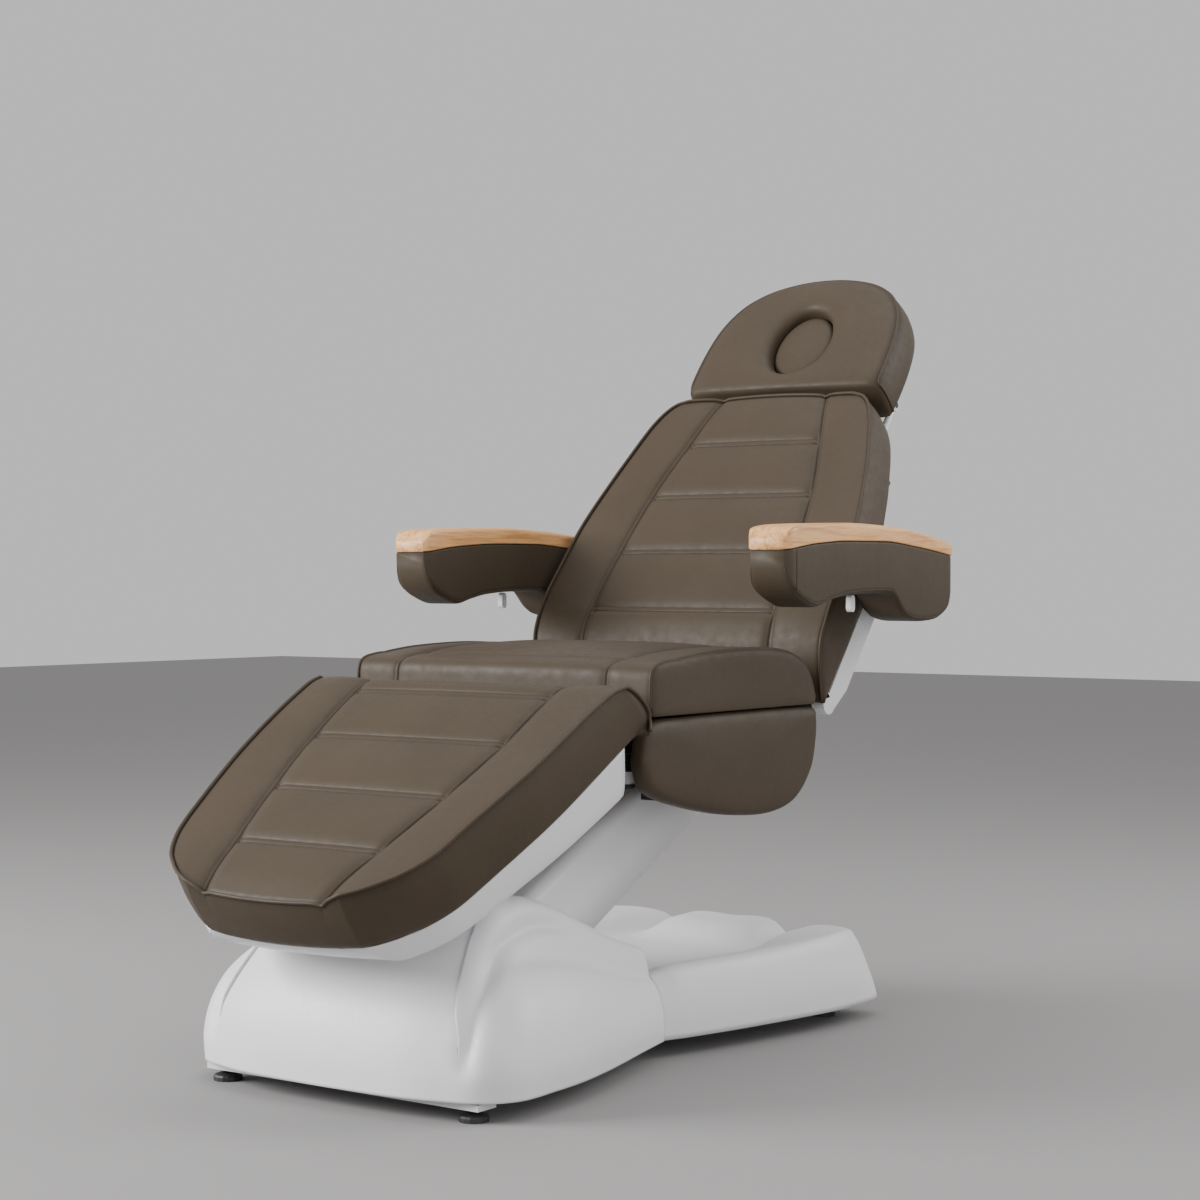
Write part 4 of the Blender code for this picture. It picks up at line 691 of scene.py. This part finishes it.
def backrest():
    width = through([(-0.135, 0.312), (-0.096, 0.316), (-0.05, 0.3188), (-0.008, 0.3202), (0.038, 0.3199),
                     (0.087, 0.3168), (0.186, 0.3107), (0.238, 0.3028), (0.288, 0.2924), (0.34, 0.2809),
                     (0.391, 0.2666), (0.441, 0.2514), (0.467, 0.2407), (0.494, 0.225), (0.507, 0.2116),
                     (0.5157, 0.1866)])
    seam_x = through([(-0.135, 0.208), (0.0, 0.205), (0.138, 0.195), (0.274, 0.179), (0.406, 0.148),
                      (0.52, 0.116)])
    ends, seams = (-0.135, 0.5157), (0.0, 0.138, 0.274, 0.406)
    centre = through([(-0.135, -0.09), (-0.12, -0.066), (-0.09, -0.038), (-0.05, -0.012), (0.0, 0.0),
                      (0.47, 0.0), (0.5157, -0.004)])
    edge = through([(-0.135, -0.0925), (-0.11, -0.058), (-0.096, -0.0436), (-0.066, -0.018),
                    (-0.049, -0.0093), (-0.029, -0.0042), (-0.008, 0.0002), (0.038, 0.0043), (0.136, 0.006),
                    (0.34, 0.006), (0.416, 0.0083), (0.467, 0.0094), (0.5157, 0.0075)])
    top, shade = channelled(width, seam_x, ends, seams, centre, edge, 0.014, -1.0, low=-0.0935)
    out = through([(0.0, 0.0), (0.12, 0.003), (0.45, 0.006), (0.78, 0.005), (0.95, 0.0), (1.0, -0.01)])
    tail = through([(0.0, 0.0), (0.2, 0.002), (0.45, 0.001), (0.7, -0.002), (0.9, -0.006), (1.0, -0.014)])
    obj, verts, ring = boxed("backrest_cushion", top, shade, -0.0975, out, tail, back_at, "back", 0.0)
    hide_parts("back_cushion")
    edge_piping("backrest_piping", verts, ring, shade.size, shade.shape[1], back_at, "back", 0)


SEAT_PROFILE = [(-0.05, 0.5785), (-0.053, 0.6), (-0.053, 0.63), (-0.05, 0.652), (-0.036, 0.664),
                (0.0, 0.669), (0.015, 0.669), (0.03, 0.671), (0.09, 0.676), (0.17, 0.679),
                (0.25, 0.68), (0.33, 0.677), (0.38, 0.669), (0.415, 0.654), (0.438, 0.632),
                (0.451, 0.606), (0.456, 0.588), (0.452, 0.5785)]


def seat():
    """Seat: the top panel wraps over the front and the rear, between flat piped side panels."""
    half_width, seam_x, seam_y = 0.316, 0.222, 0.015
    line = even(curve_through(SEAT_PROFILE, 400), 130)
    t = unit(np.gradient(line, axis=0))
    normal = np.stack([-t[:, 1], t[:, 0]], axis=1)
    weight = np.sin(np.linspace(0, math.pi, len(line))) ** 0.5
    on_top = np.clip((normal[:, 1] - 0.2) / 0.5, 0, 1)

    edge_x = half_width - 0.006
    us = panel_columns(seam_x, edge_x, 31)
    cross = int(np.argmin(abs(line[:, 0] - seam_y)))
    pick = np.array(sorted({*range(20, 105, 2), cross}))
    x, k = np.meshgrid(us, pick)
    pins = (abs(abs(x) - seam_x) < SAME) | ((k == cross) & (abs(x) <= seam_x))
    puff = inflate(np.dstack([x, line[k, 0], line[k, 1]]), pins, cap=0.006)

    xs = fill(sorted({0.0, seam_x, edge_x} | {seam_x + d for d in SEAM_OFFSETS}), 0.012)
    xs = np.concatenate([-xs[:0:-1], xs])
    lift = sample(puff, pick, us, np.arange(len(line)), np.clip(xs, -edge_x, edge_x))
    rings, seam_shades = [], []
    d_cross, upper = line[:, 0] - seam_y, line[:, 1] > 0.64
    for c, x in enumerate(xs):
        d_long = abs(x) - seam_x
        fade = clamp((-d_long - 0.001) / 0.004)
        pulls = np.array([pucker(y, x, d_long) for y in line[:, 0]])
        rise = (long_welt(d_long) + pulls) * weight + lift[:, c] * on_top
        rise = rise + fade * on_top * cross_welt(d_cross, -1.0) * upper
        p = line + normal * rise[:, None]
        crown = 0.012 * (1 - 0.25 * (x / half_width) ** 4)
        tuck = np.clip((0.598 - line[:, 1]) / 0.016, 0, 1) * clamp((abs(x) - 0.235) / 0.03)
        p[:, 1] += crown * weight + 0.008 * tuck
        rings.append(upright(x, p))
        # painted shade in the grooves of the long seams and of the cross seam on the top
        seam_shades.append(np.clip(long_seam_shade(d_long) + fade * cross_seam_shade(d_cross, -1.0) * upper, 0, 1))
    middle = np.array([0.2 + OY, 0.628])
    side = [(0.0035, 0.995), (0.006, 0.982), (0.0078, 0.955), (0.009, 0.9), (0.0098, 0.8), (0.0103, 0.62),
            (0.0105, 0.4), (0.0105, 0.18)]

    def panel(way, rim):
        return [np.column_stack([np.full(len(rim), way * (edge_x + outward)),
                                 middle + (rim[:, 1:] - middle) * share]) for outward, share in side]

    # the flat side panels get no painted shade
    flat = [np.zeros(len(line))] * len(side)
    rings = panel(-1, rings[0])[::-1] + rings + panel(1, rings[-1])
    seam_shades = flat + seam_shades + flat
    obj = piece("seat_pad", *loft(rings), "seat", "leatherette", seam_shade=np.concatenate(seam_shades))
    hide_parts("seat_cushion")
    for name, ring in (("right", rings[len(side)]), ("left", rings[-1 - len(side)])):
        path = ring.copy()
        path[:, 0] += math.copysign(0.0012, path[0, 0])
        piping("seat_piping_" + name, path[3:-3], "seat")


def side_pads():
    shape = [(-0.067, 0.533), (-0.067, 0.5), (-0.046, 0.466), (0.009, 0.444), (0.107, 0.422),
             (0.208, 0.408), (0.313, 0.404), (0.395, 0.421), (0.448, 0.469), (0.466, 0.524), (0.467, 0.562),
             (0.452, 0.581), (0.34, 0.584), (0.2, 0.584), (0.06, 0.583), (-0.045, 0.577)]
    outline = even(curve_through(shape, 400, closed=True), 150, closed=True)
    t = unit(np.roll(outline, -1, 0) - np.roll(outline, 1, 0))
    inward = np.stack([-t[:, 1], t[:, 0]], axis=1)
    middle = np.array([0.2, 0.5])
    levels = [(0.2575, 0.05), (0.2725, 0.05), (0.2745, 0.022), (0.2785, 0.0095), (0.2815, 0.004),
              (0.2845, 0.001), (0.292, 0.0), (0.301, 0.0), (0.305, 0.0008), (0.308, 0.0026),
              (0.3105, 0.0052), (0.3125, 0.0085), (0.314, 0.0125), (0.3155, 0.021), (0.3166, 0.033),
              (0.3175, 0.05), (0.318, 0.066), (0.3182, 0.08)]
    roll = 0.0115    # how far in the rounded edge goes
    for name, way in SIDES:
        rings = []
        for x, inset in levels:
            p = outline + inward * min(inset, roll)
            rings.append(upright(way * x, middle + (p - middle) * (1 - max(0.0, inset - roll) / 0.085)))
        obj = piece("side_bolster_" + name, *loft(rings), "seat", "leatherette")
        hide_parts("side_pad_" + name)


def hinge_cheeks():
    """Plate with its bolt, and the rubber-ended stop below, between the leg rest and each side pad."""
    outline = even([(-0.036, 0.574), (-0.029, 0.545), (-0.028, 0.53), (-0.032, 0.511), (-0.04, 0.501),
                    (-0.036, 0.495), (-0.02, 0.494), (0.01, 0.497), (0.058, 0.508), (0.066, 0.52),
                    (0.066, 0.566), (0.058, 0.574)], 72, closed=True)
    middle, bolt_at = outline.mean(axis=0), (0.002, 0.532)
    plate = ((0.2462, 0.97), (0.247, 1.0), (0.2512, 1.0), (0.252, 0.97))
    bolt = ((0.2516, 0.0042), (0.2534, 0.0042), (0.2544, 0.0034), (0.255, 0.0018))
    stop_x, top, foot = 0.238, np.array([-0.02, 0.512]), np.array([-0.011, 0.472])
    stops = (("hinge_stop_", "white_paint", ((0.0, 0.0105), (1.0, 0.0105))),
             ("hinge_buffer_", "black_plastic", ((0.97, 0.0118), (1.12, 0.0118), (1.19, 0.0095))))
    for name, way in SIDES:
        rings = [upright(way * x, middle + (outline - middle) * scale) for x, scale in plate]
        piece("hinge_cheek_" + name, *loft(rings), "seat", "dark_steel", smooth=False)
        rings = [upright(way * x, circle(r, 16) + bolt_at) for x, r in bolt]
        piece("hinge_bolt_" + name, *loft(rings), "seat", "bright_steel", smooth=False)
        for label, slot, ends in stops:
            rings = []
            for share, r in ends:
                y, z = top + (foot - top) * share
                rings.append([(way * (stop_x + a), y + OY + b, z) for a, b in circle(r, 28)])
            piece(label + name, *loft(rings), "seat", slot, smooth=False)


HOLE_CENTRE, HOLE_X, HOLE_S = 0.119, 0.064, 0.084
HEAD_FACE, HEAD_REAR = -0.004, -0.1


def headrest():
    half = [(0.0, -0.01), (0.12, -0.011), (0.201, -0.011), (0.2155, -0.003), (0.2185, 0.05), (0.2155, 0.11),
            (0.207, 0.16), (0.191, 0.2), (0.165, 0.235), (0.12, 0.264), (0.06, 0.281), (0.0, 0.286)]
    points = half + [(-x, s) for x, s in half[-2:0:-1]]
    outer = even(curve_through(points, 600, closed=True), 132, closed=True)
    angle = np.arctan2(outer[:, 1] - HOLE_CENTRE, outer[:, 0])
    r = 1 / np.hypot(np.cos(angle) / HOLE_X, np.sin(angle) / HOLE_S)
    hole = np.stack([r * np.cos(angle), HOLE_CENTRE + r * np.sin(angle)], axis=1)
    out = outer - hole
    span = np.linalg.norm(out, axis=1)
    out /= span[:, None]
    bottom = np.clip((0.016 - outer[:, 1]) / 0.022, 0, 1)
    face, rear = HEAD_FACE, HEAD_REAR

    def ring(share, rise, grow=0.0, roll=0.0, fixed=None, under=0.0):
        reach = span * share if fixed is None else np.minimum(fixed, span * 8.0 * fixed)
        p = hole + out * (reach + grow)[:, None]
        z = np.full(len(p), rise) - roll * bottom
        p[:, 1] -= under * np.maximum(0.0, 1 - p[:, 1] / 0.05)
        return np.array([head_at(x, s, h) for (x, s), h in zip(p, z)])

    on_face = [(1.0, -0.007, -0.001, 0.009), (0.985, -0.0058, 0, 0.006), (0.97, -0.0044, 0, 0.004),
               (0.94, -0.0024, 0, 0.0016), (0.9, -0.0008, 0, 0.0004), (0.8, 0.0014), (0.62, 0.0032),
               (0.46, 0.0038), (0.34, 0.0034)]
    into_hole = [(0.034, 0.0026), (0.025, 0.0014), (0.017, -0.0004), (0.01, -0.0034), (0.005, -0.0072),
                 (0.0015, -0.012)]
    round_rear = [(0.97, 0.002, 0, 0.004), (1.0, 0.01, 0.002, 0.006), (1.0, 0.022, 0.0048, 0.0048),
                  (1.0, 0.036, 0.0062, 0.003), (1.0, 0.052, 0.0056, 0.001)]
    rings = [ring(share, face + up, *rest) for share, up, *rest in on_face]
    rings += [ring(0.0, face + up, fixed=reach) for reach, up in into_hole]
    rings += [ring(0.0, face - 0.018), ring(0.0, face - 0.05), ring(0.0, rear + 0.0006)]
    rings += [ring(0.4, rear), ring(0.85, rear)]
    rings += [ring(share, rear + up, grow, under=under) for share, up, grow, under in round_rear]
    rings += [ring(1.0, face - 0.028, 0.0038, 0.002), ring(1.0, face - 0.018, 0.0022, 0.006),
              ring(1.0, face - 0.0115, 0.001, 0.009)]
    verts, faces = loft(rings, closed_along=True)
    n = len(outer)
    # painted shade either side of the piping round the face: on two rings inside its edge and two on the side
    # just below it, none along the bottom
    tone = np.zeros(len(verts))
    for k, share in ((2, 0.7), (3, 0.25), (len(rings) - 1, 0.8), (len(rings) - 2, 0.35)):
        tone[k * n:(k + 1) * n] = share * (1 - bottom)
    obj = piece("headrest_cushion", verts, faces, "head", "leatherette", seam_shade=tone)
    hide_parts("head_cushion")
    corner = [i for i in range(n) if outer[i, 1] > -0.001]
    order = sorted(corner, key=lambda i: (angle[i] + math.pi / 2) % (2 * math.pi))
    path = [rings[0][i] for i in order]
    right, left = order[0], order[-1]
    chain = range(27, 20, -1)    # rings round the rim, from the face to the rear
    path = [rings[k][right] for k in chain[::-1]] + path + [rings[k][left] for k in chain]
    piping("headrest_piping", path, "head", 0.0028)


def face_plug():
    face, rear = HEAD_FACE, HEAD_REAR + 0.0003

    def ring(shrink, rise):
        rx, rs = HOLE_X - shrink, HOLE_S - shrink
        return np.array([head_at(rx * c, HOLE_CENTRE + rs * s, rise) for c, s in circle(1.0, 96)])

    crown = [(0.0015, 0.036), (0.0018, 0.029), (0.003, 0.0245), (0.0055, 0.0212), (0.0095, 0.0188),
             (0.015, 0.0172), (0.024, 0.016), (0.036, 0.0152), (0.046, 0.0148), (0.054, 0.0146)]
    rings = [ring(0.006, rear), ring(0.003, rear + 0.002), ring(0.0018, rear + 0.007)]
    rings += [ring(shrink, face - down) for shrink, down in crown]
    obj = piece("face_hole_plug", *loft(rings), "plug", "leatherette")
    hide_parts("face_plug")


REST_IN, REST_OUT = 0.346, 0.429
BELLY = through([(0.174, 0.835), (0.18, 0.812), (0.193, 0.792), (0.229, 0.771), (0.272, 0.76),
                 (0.31, 0.768), (0.36, 0.777), (0.43, 0.7815), (0.5, 0.7825), (0.528, 0.78),
                 (0.546, 0.768), (0.564, 0.75), (0.582, 0.739), (0.605, 0.7335), (0.64, 0.7305),
                 (0.69, 0.733), (0.725, 0.745), (0.747, 0.771), (0.758, 0.812)])
CAP_LOW = through([(0.17, 0.856), (0.275, 0.868), (0.386, 0.873), (0.501, 0.873), (0.622, 0.864),
                   (0.76, 0.848)])
CAP_HIGH = through([(0.17, 0.88), (0.19, 0.895), (0.26, 0.901), (0.39, 0.904), (0.5, 0.901),
                    (0.6, 0.894), (0.7, 0.881), (0.748, 0.87), (0.763, 0.858)])
CAP_GAP = 0.0003    # from the joint of pad and cap to each of them
PAD_FRONT, PAD_REAR, CAP_FRONT, CAP_REAR = 0.1735, 0.7595, 0.172, 0.761
PAD_END, CAP_END = 0.025, 0.02    # length over which an end narrows


def arm_ring(way, y, narrow, low, high, upper, lower):
    """Ring of an armrest at y: its section, with the upper and lower corners rounded."""
    half, out = (REST_OUT - REST_IN) / 2 - narrow, []
    for side, up, start in ((1, 1, 0), (-1, 1, 90), (-1, -1, 180), (1, -1, 270)):
        r = min(upper if up > 0 else lower, half * 0.98, (high - low) / 2 * 0.98)
        cx, cz = side * (half - r), high - r if up > 0 else low + r
        for a in np.radians(np.linspace(start, start + 90, 10)):
            x = (REST_IN + REST_OUT) / 2 + cx + r * math.cos(a)
            out.append((way * x, y + OY, cz + r * math.sin(a)))
    return np.array(out)


def armrests():
    stations = fill([0.175, 0.177, 0.18, 0.185, 0.193, 0.203, 0.215, 0.24, 0.272, 0.43, 0.5, 0.528,
                     0.546, 0.564, 0.582, 0.605, 0.7, 0.725, 0.738, 0.747, 0.753, 0.7565, 0.758], 0.01)
    cap_stations = fill([0.173, 0.1745, 0.177, 0.181, 0.187, 0.195, 0.26, 0.7, 0.735, 0.748, 0.755, 0.7585,
                         0.76], 0.012)
    corner_at = int(np.argmin(np.abs(stations - 0.201)))
    for name, way in SIDES:
        rings = []
        for y in stations:
            narrow = 0.01 * (1 - min(y - PAD_FRONT, PAD_REAR - y, PAD_END) / PAD_END) ** 2
            rings.append(arm_ring(way, y, narrow, float(BELLY(y)), float(CAP_LOW(y)) - CAP_GAP, 0.004, 0.012))
        obj = piece("arm_cushion_" + name, *loft(rings), "arm_" + name, "leatherette")
        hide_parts("arm_pad_" + name)
        for k, index in (("a", 36), ("b", 23)):
            path = [ring[index] for ring in rings[1:-1]]
            piping("arm_seam_%s_%s" % (k, name), path, "arm_" + name, 0.0009, spacing=0.008)
        corner = rings[corner_at]
        piping("arm_seam_c_" + name, [*corner[35:], *corner[:4]], "arm_" + name, 0.0011, spacing=0.004)

        rings = []
        for y in cap_stations:
            narrow = 0.012 * (1 - clamp(min(y - CAP_FRONT, CAP_REAR - y) / CAP_END)) ** 2
            low = float(CAP_LOW(y)) + CAP_GAP
            high = max(float(CAP_HIGH(y)), low + 0.008)
            high = low + (high - low) * (0.62 + 0.38 * math.sqrt(clamp((y - CAP_FRONT) / 0.015)))
            rings.append(arm_ring(way, y, narrow - 0.001, low, high, 0.0075, 0.0025))
        obj = piece("arm_top_" + name, *loft(rings), "arm_" + name, "wood")
        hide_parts("arm_cap_" + name)


# Moulded covers

def moulding(name, grid, body, node, **more):
    """Smooth skin through a half grid of points."""
    along, across = 5 * len(grid), 4 * len(grid[0])
    rows = np.array([curve_through(row, across) for row in np.asarray(grid, float)])
    fine = np.array([curve_through(rows[:, k], along) for k in range(across)]).transpose(1, 0, 2)
    skin(name, fine, body, node, **more)


def skin(name, fine, body, node, mat=MATERIALS["white_cover"], hole=None):
    """Moulding over a half grid of points, mirrored about X, with a wall inwards."""
    mesh = bpy.data.meshes.new(name)
    mesh.from_pydata(fine.reshape(-1, 3).tolist(), [], grid_faces(*fine.shape[:2]))
    obj = add_object(name, mesh)
    mirror = obj.modifiers.new("mirror", "MIRROR")
    mirror.merge_threshold = 0.0002
    solid = obj.modifiers.new("wall", "SOLIDIFY")
    solid.thickness = COVER_WALL
    solid.offset = -1.0
    if hole:
        through_hole = obj.modifiers.new("hole", "BOOLEAN")
        through_hole.operation = "DIFFERENCE"
        through_hole.solver = "EXACT"
        through_hole.object = hole
    done = bpy.data.meshes.new_from_object(obj.evaluated_get(bpy.context.evaluated_depsgraph_get()))
    obj.modifiers.clear()
    obj.data = done
    done.shade_smooth()
    done.materials.clear()
    done.materials.append(mat)
    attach(obj, body)
    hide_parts(node)


BASE_BOTTOM, TRAY_FLOOR, COVER_WALL = 0.032, 0.128, 0.003

# the front cover's collar: across the cover from foot to rim, how far along it the edge stands, how wide
# the raised band behind it is and how high; then the middle of the hollow behind the band
COLLAR_EDGE = through([(0.0, 3.42), (2.1, 3.4), (3.1, 3.29), (4.4, 3.26), (5.45, 3.3), (6.0, 3.4),
                       (6.64, 3.52), (7.36, 3.95), (8.64, 5.12), (10.0, 5.7)])
COLLAR_WIDTH = through([(0.0, 0.3), (2.27, 0.3), (3.45, 0.63), (4.64, 0.89), (5.45, 1.23), (6.5, 1.5),
                        (10.0, 1.2)])
COLLAR_HEIGHT = through([(0.0, 0.0), (1.3, 0.0), (2.6, 0.0055), (7.2, 0.0055), (8.7, 0.0), (10.0, 0.0)])
HOLLOW = [(0.262, -0.466, 0.085), (0.26, -0.448, 0.133), (0.254, -0.418, 0.18), (0.24, -0.375, 0.217),
          (0.232, -0.341, 0.244), (0.231, -0.303, 0.26), (0.225, -0.258, 0.266), (0.221, -0.213, 0.265),
          (0.207, -0.14, 0.25), (0.192, -0.08, 0.232)]


def collar(rows):
    """Skin of the front cover, with the collar's raised edge and the hollow behind it."""
    across = rows.shape[1]
    places = []
    for v in np.linspace(0, 10, across):
        edge = float(COLLAR_EDGE(v))
        near = edge + np.array([-0.045, -0.025, -0.012, 0.012, 0.025, 0.045])
        before, after = np.linspace(0, edge - 0.08, 44), np.linspace(edge + 0.08, 11, 100)
        places.append(np.concatenate([before, near, after]))
    fine = np.array([spline(rows[:, k], places[k]) for k in range(across)]).transpose(1, 0, 2)
    along = np.array(places).T
    normal = np.cross(np.gradient(fine, axis=0), np.gradient(fine, axis=1))
    normal /= np.maximum(np.linalg.norm(normal, axis=2), 1e-9)[:, :, None]
    if (normal[:, :, 0] * fine[:, :, 0]).sum() < 0:
        normal = -normal
    hollow = even(curve_through(HOLLOW, 160), 160) + (0, OY, 0)
    v = np.linspace(0, 10, across)[None, :]
    behind = along - COLLAR_EDGE(v)
    share = np.clip(behind / COLLAR_WIDTH(v), 0, 1)
    raised = np.where(behind > 0, COLLAR_HEIGHT(v) * (1 - share * share * (3 - 2 * share)), 0.0)
    gap = np.linalg.norm(fine[:, :, None, :] - hollow[None, None], axis=3)
    k = gap.argmin(axis=2)
    fade = np.clip((fine[:, :, 2] - 0.05) / 0.06, 0, 1) * np.clip((len(hollow) - 1 - k) / 50.0, 0, 1)
    sunk = -0.011 * np.exp(-(gap.min(axis=2) / 0.017) ** 2) * fade
    return fine + normal * (raised + sunk)[:, :, None]


def front_cover():
    low = [(0.0, -0.496), (0.085, -0.494), (0.16, -0.489), (0.224, -0.475), (0.283, -0.452),
           (0.318, -0.397), (0.3165, -0.31), (0.3107, -0.242), (0.297, -0.168), (0.277, -0.087),
           (0.251, 0.006), (0.224, 0.1085)]
    rim = [(0.0, -0.3, 0.306), (0.07, -0.3, 0.306), (0.125, -0.297, 0.306), (0.152, -0.288, 0.306),
           (0.165, -0.272, 0.306), (0.165, -0.254, 0.306), (0.165, -0.228, 0.304), (0.165, -0.19, 0.294),
           (0.165, -0.13, 0.273), (0.165, -0.06, 0.243), (0.165, 0.025, 0.208), (0.165, 0.1085, 0.182)]
    fender = (0.0, 0.0, 0.0, 0.15, 0.5, 0.85) + (1.0,) * 6
    plain = [(0, 0), (0.02, 0.16), (0.07, 0.32), (0.15, 0.46), (0.27, 0.6), (0.4, 0.73), (0.54, 0.84),
             (0.7, 0.93), (0.87, 0.99), (1.0, 1.0), (1.0, 0.97)]
    ridged = [(0, 0), (-0.03, 0.16), (0.02, 0.34), (0.14, 0.5), (0.32, 0.62), (0.5, 0.7), (0.6, 0.86),
              (0.72, 0.98), (0.88, 1.01), (1.0, 0.98), (1.0, 0.95)]
    grid = []
    for (bx, by), (tx, ty, tz), g in zip(low, rim, fender):
        row = []
        for (a0, b0), (a1, b1) in zip(plain, ridged):
            a, b = a0 + (a1 - a0) * g, b0 + (b1 - b0) * g
            row.append((bx + (tx - bx) * a, by + (ty - by) * a + OY, BASE_BOTTOM + (tz - BASE_BOTTOM) * b))
        grid.append(row)
    fine = collar(np.array([curve_through(row, 110) for row in grid]))
    skin("front_moulding", fine, "base", "front_cover")


def rear_cover():
    width = through([(0.11, 0.224), (0.183, 0.248), (0.298, 0.275), (0.422, 0.299), (0.5645, 0.317),
                     (0.649, 0.314), (0.7, 0.3), (0.717, 0.29)])
    lobe = through([(0.11, 0.15), (0.2, 0.154), (0.4, 0.158), (0.6, 0.166), (0.717, 0.166)])
    middle = through([(0.11, TRAY_FLOOR), (0.5, TRAY_FLOOR), (0.6, 0.162), (0.717, 0.164)])
    broad = through([(0.11, 1.0), (0.35, 1.0), (0.58, 2.0), (0.717, 2.0)])
    rounding = through([(0.11, 0.0), (0.58, 0.0), (0.66, 0.6), (0.7, 1.0), (0.717, 1.0)])
    height = through([(0.0, 1.0), (0.66, 1.0), (0.69, 0.95), (0.7, 0.86), (0.708, 0.68), (0.713, 0.42),
                      (0.717, 0.08)])
    stations = (0.1115, 0.13, 0.16, 0.25, 0.35, 0.45, 0.52, 0.58, 0.63, 0.665, 0.69, 0.7, 0.708, 0.713,
                0.717)
    grid = []
    for y in stations:
        w, top, mid, k, r = (float(f(y)) for f in (width, lobe, middle, broad, rounding))
        row = [(w, BASE_BOTTOM), (w + 0.002 - 0.012 * r, 0.075 - 0.005 * r),
               (w - 0.004 - 0.022 * r, 0.115 - 0.01 * r), (w - 0.018 - 0.028 * r, top - 0.008 - 0.024 * r),
               (w - 0.04 - 0.028 * r, top - 0.01 * r), (w - 0.066 * k, top - 0.008),
               (w - 0.09 * k, TRAY_FLOOR + 0.004), (0.62 * (w - 0.09 * k), mid), (0.0, mid)]
        # at the joint it has the section of the front cover
        joint = [(w, BASE_BOTTOM), (w - 0.001, 0.078), (w - 0.008, 0.104), (w - 0.0195, 0.126),
                 (w - 0.032, 0.1385), (w - 0.06, 0.1385), *row[6:]]
        near = clamp((0.165 - y) / 0.0535) ** 1.5
        row = [(a + (c - a) * near, b + (d - b) * near) for (a, b), (c, d) in zip(row, joint)]
        share = float(height(y))
        grid.append([(x, y + OY, BASE_BOTTOM + (z - BASE_BOTTOM) * share) for x, z in reversed(row)])

    # seat of the power inlet, square to the sloping tail
    z0, z1 = (BASE_BOTTOM + (float(middle(y)) - BASE_BOTTOM) * float(height(y)) for y in (0.708, 0.713))
    tilt, middle = math.atan2(z1 - z0, 0.005), (0.7105, (z0 + z1) / 2)
    corners = ((-0.025, -0.0145), (0.025, -0.0145), (0.025, 0.0145), (-0.025, 0.0145))
    verts, faces = loft([[tilted(x, middle, tilt, y, h) for x, y in corners] for h in (-0.03, 0.03)])
    mesh = bpy.data.meshes.new("inlet_hole")
    mesh.from_pydata(verts.tolist(), [], faces)
    face_out(mesh)
    hole = add_object("inlet_hole", mesh)
    moulding("rear_moulding", grid, "base", "rear_cover", hole=hole)
    bpy.data.objects.remove(hole)


def leg_pan():
    columns = [(0.0, 0.0), (0.45, 0.0), (0.9, 0.0), (0.965, 0.05), (0.985, 0.2), (0.995, 0.55), (1.0, 1.0)]
    rows = [(0.0, 0.0), (0.15, 0.0), (0.35, 0.0), (0.55, 0.0), (0.72, 0.0), (0.84, 0.0), (0.935, 0.05),
            (0.968, 0.2), (0.988, 0.55), (1.0, 1.0)]
    deep, taper, rim = 0.172, 0.07, -0.095
    grid = []
    for v, lift_v in rows:
        row = []
        for u, lift_u in columns:
            depth = deep - taper * LEG_END * v
            rise = -depth + (depth + rim) * max(lift_u, lift_v)
            start = 0.036 * (rim - rise) / (deep + rim)
            s = start + (LEG_END - 0.006 - start) * v
            x = (float(LEG_WIDTH(s)) - 0.0045) * u
            share = max(0.0, (s - TIP_FROM) / (LEG_END - TIP_FROM))
            row.append(leg_at(x, s + LEG_TIP * (1 - u * u) * share ** 1.5, rise))
        grid.append(row)
    moulding("leg_rest_pan", grid, "leg", "leg_pan", mat=PAN)


def column_cover():
    h, w, r = 0.07, 0.15, 0.022
    arc = [(w - r + r * math.sin(a), h - r + r * math.cos(a)) for a in np.linspace(0, math.pi / 2, 9)]
    outline = [(0.0, h), (0.07, h), (w - r - 0.006, h), *arc, (w, h - r - 0.006), (w, 0.0), (w, -h)]
    grid = []
    for t in fill([-0.032, 0.36, 0.57], 0.04):
        slant = 0.43 * max(0.0, (t - 0.36) / 0.21)
        grid.append([tilted(x, COLUMN_FOOT, COLUMN_TILT, t - slant * p, p) for x, p in outline])
    skin("column_moulding", np.array(grid), "lift", "column_cover")


def carried():
    """Materials of the solids that stay in view."""
    slots = {s["node"]: s["material_slot"] for s in frame["record"]["subparts"]}
    for name, obj in frame["nodes"].items():
        obj.data.materials.clear()
        obj.data.materials.append(PAN if name == "leg_pan" else MATERIALS[slots[name]])


camera()
stage()
carried()
leg_rest()
backrest()
seat()
side_pads()
hinge_cheeks()
headrest()
face_plug()
armrests()
front_cover()
rear_cover()
leg_pan()
column_cover()

bpy.context.view_layer.update()
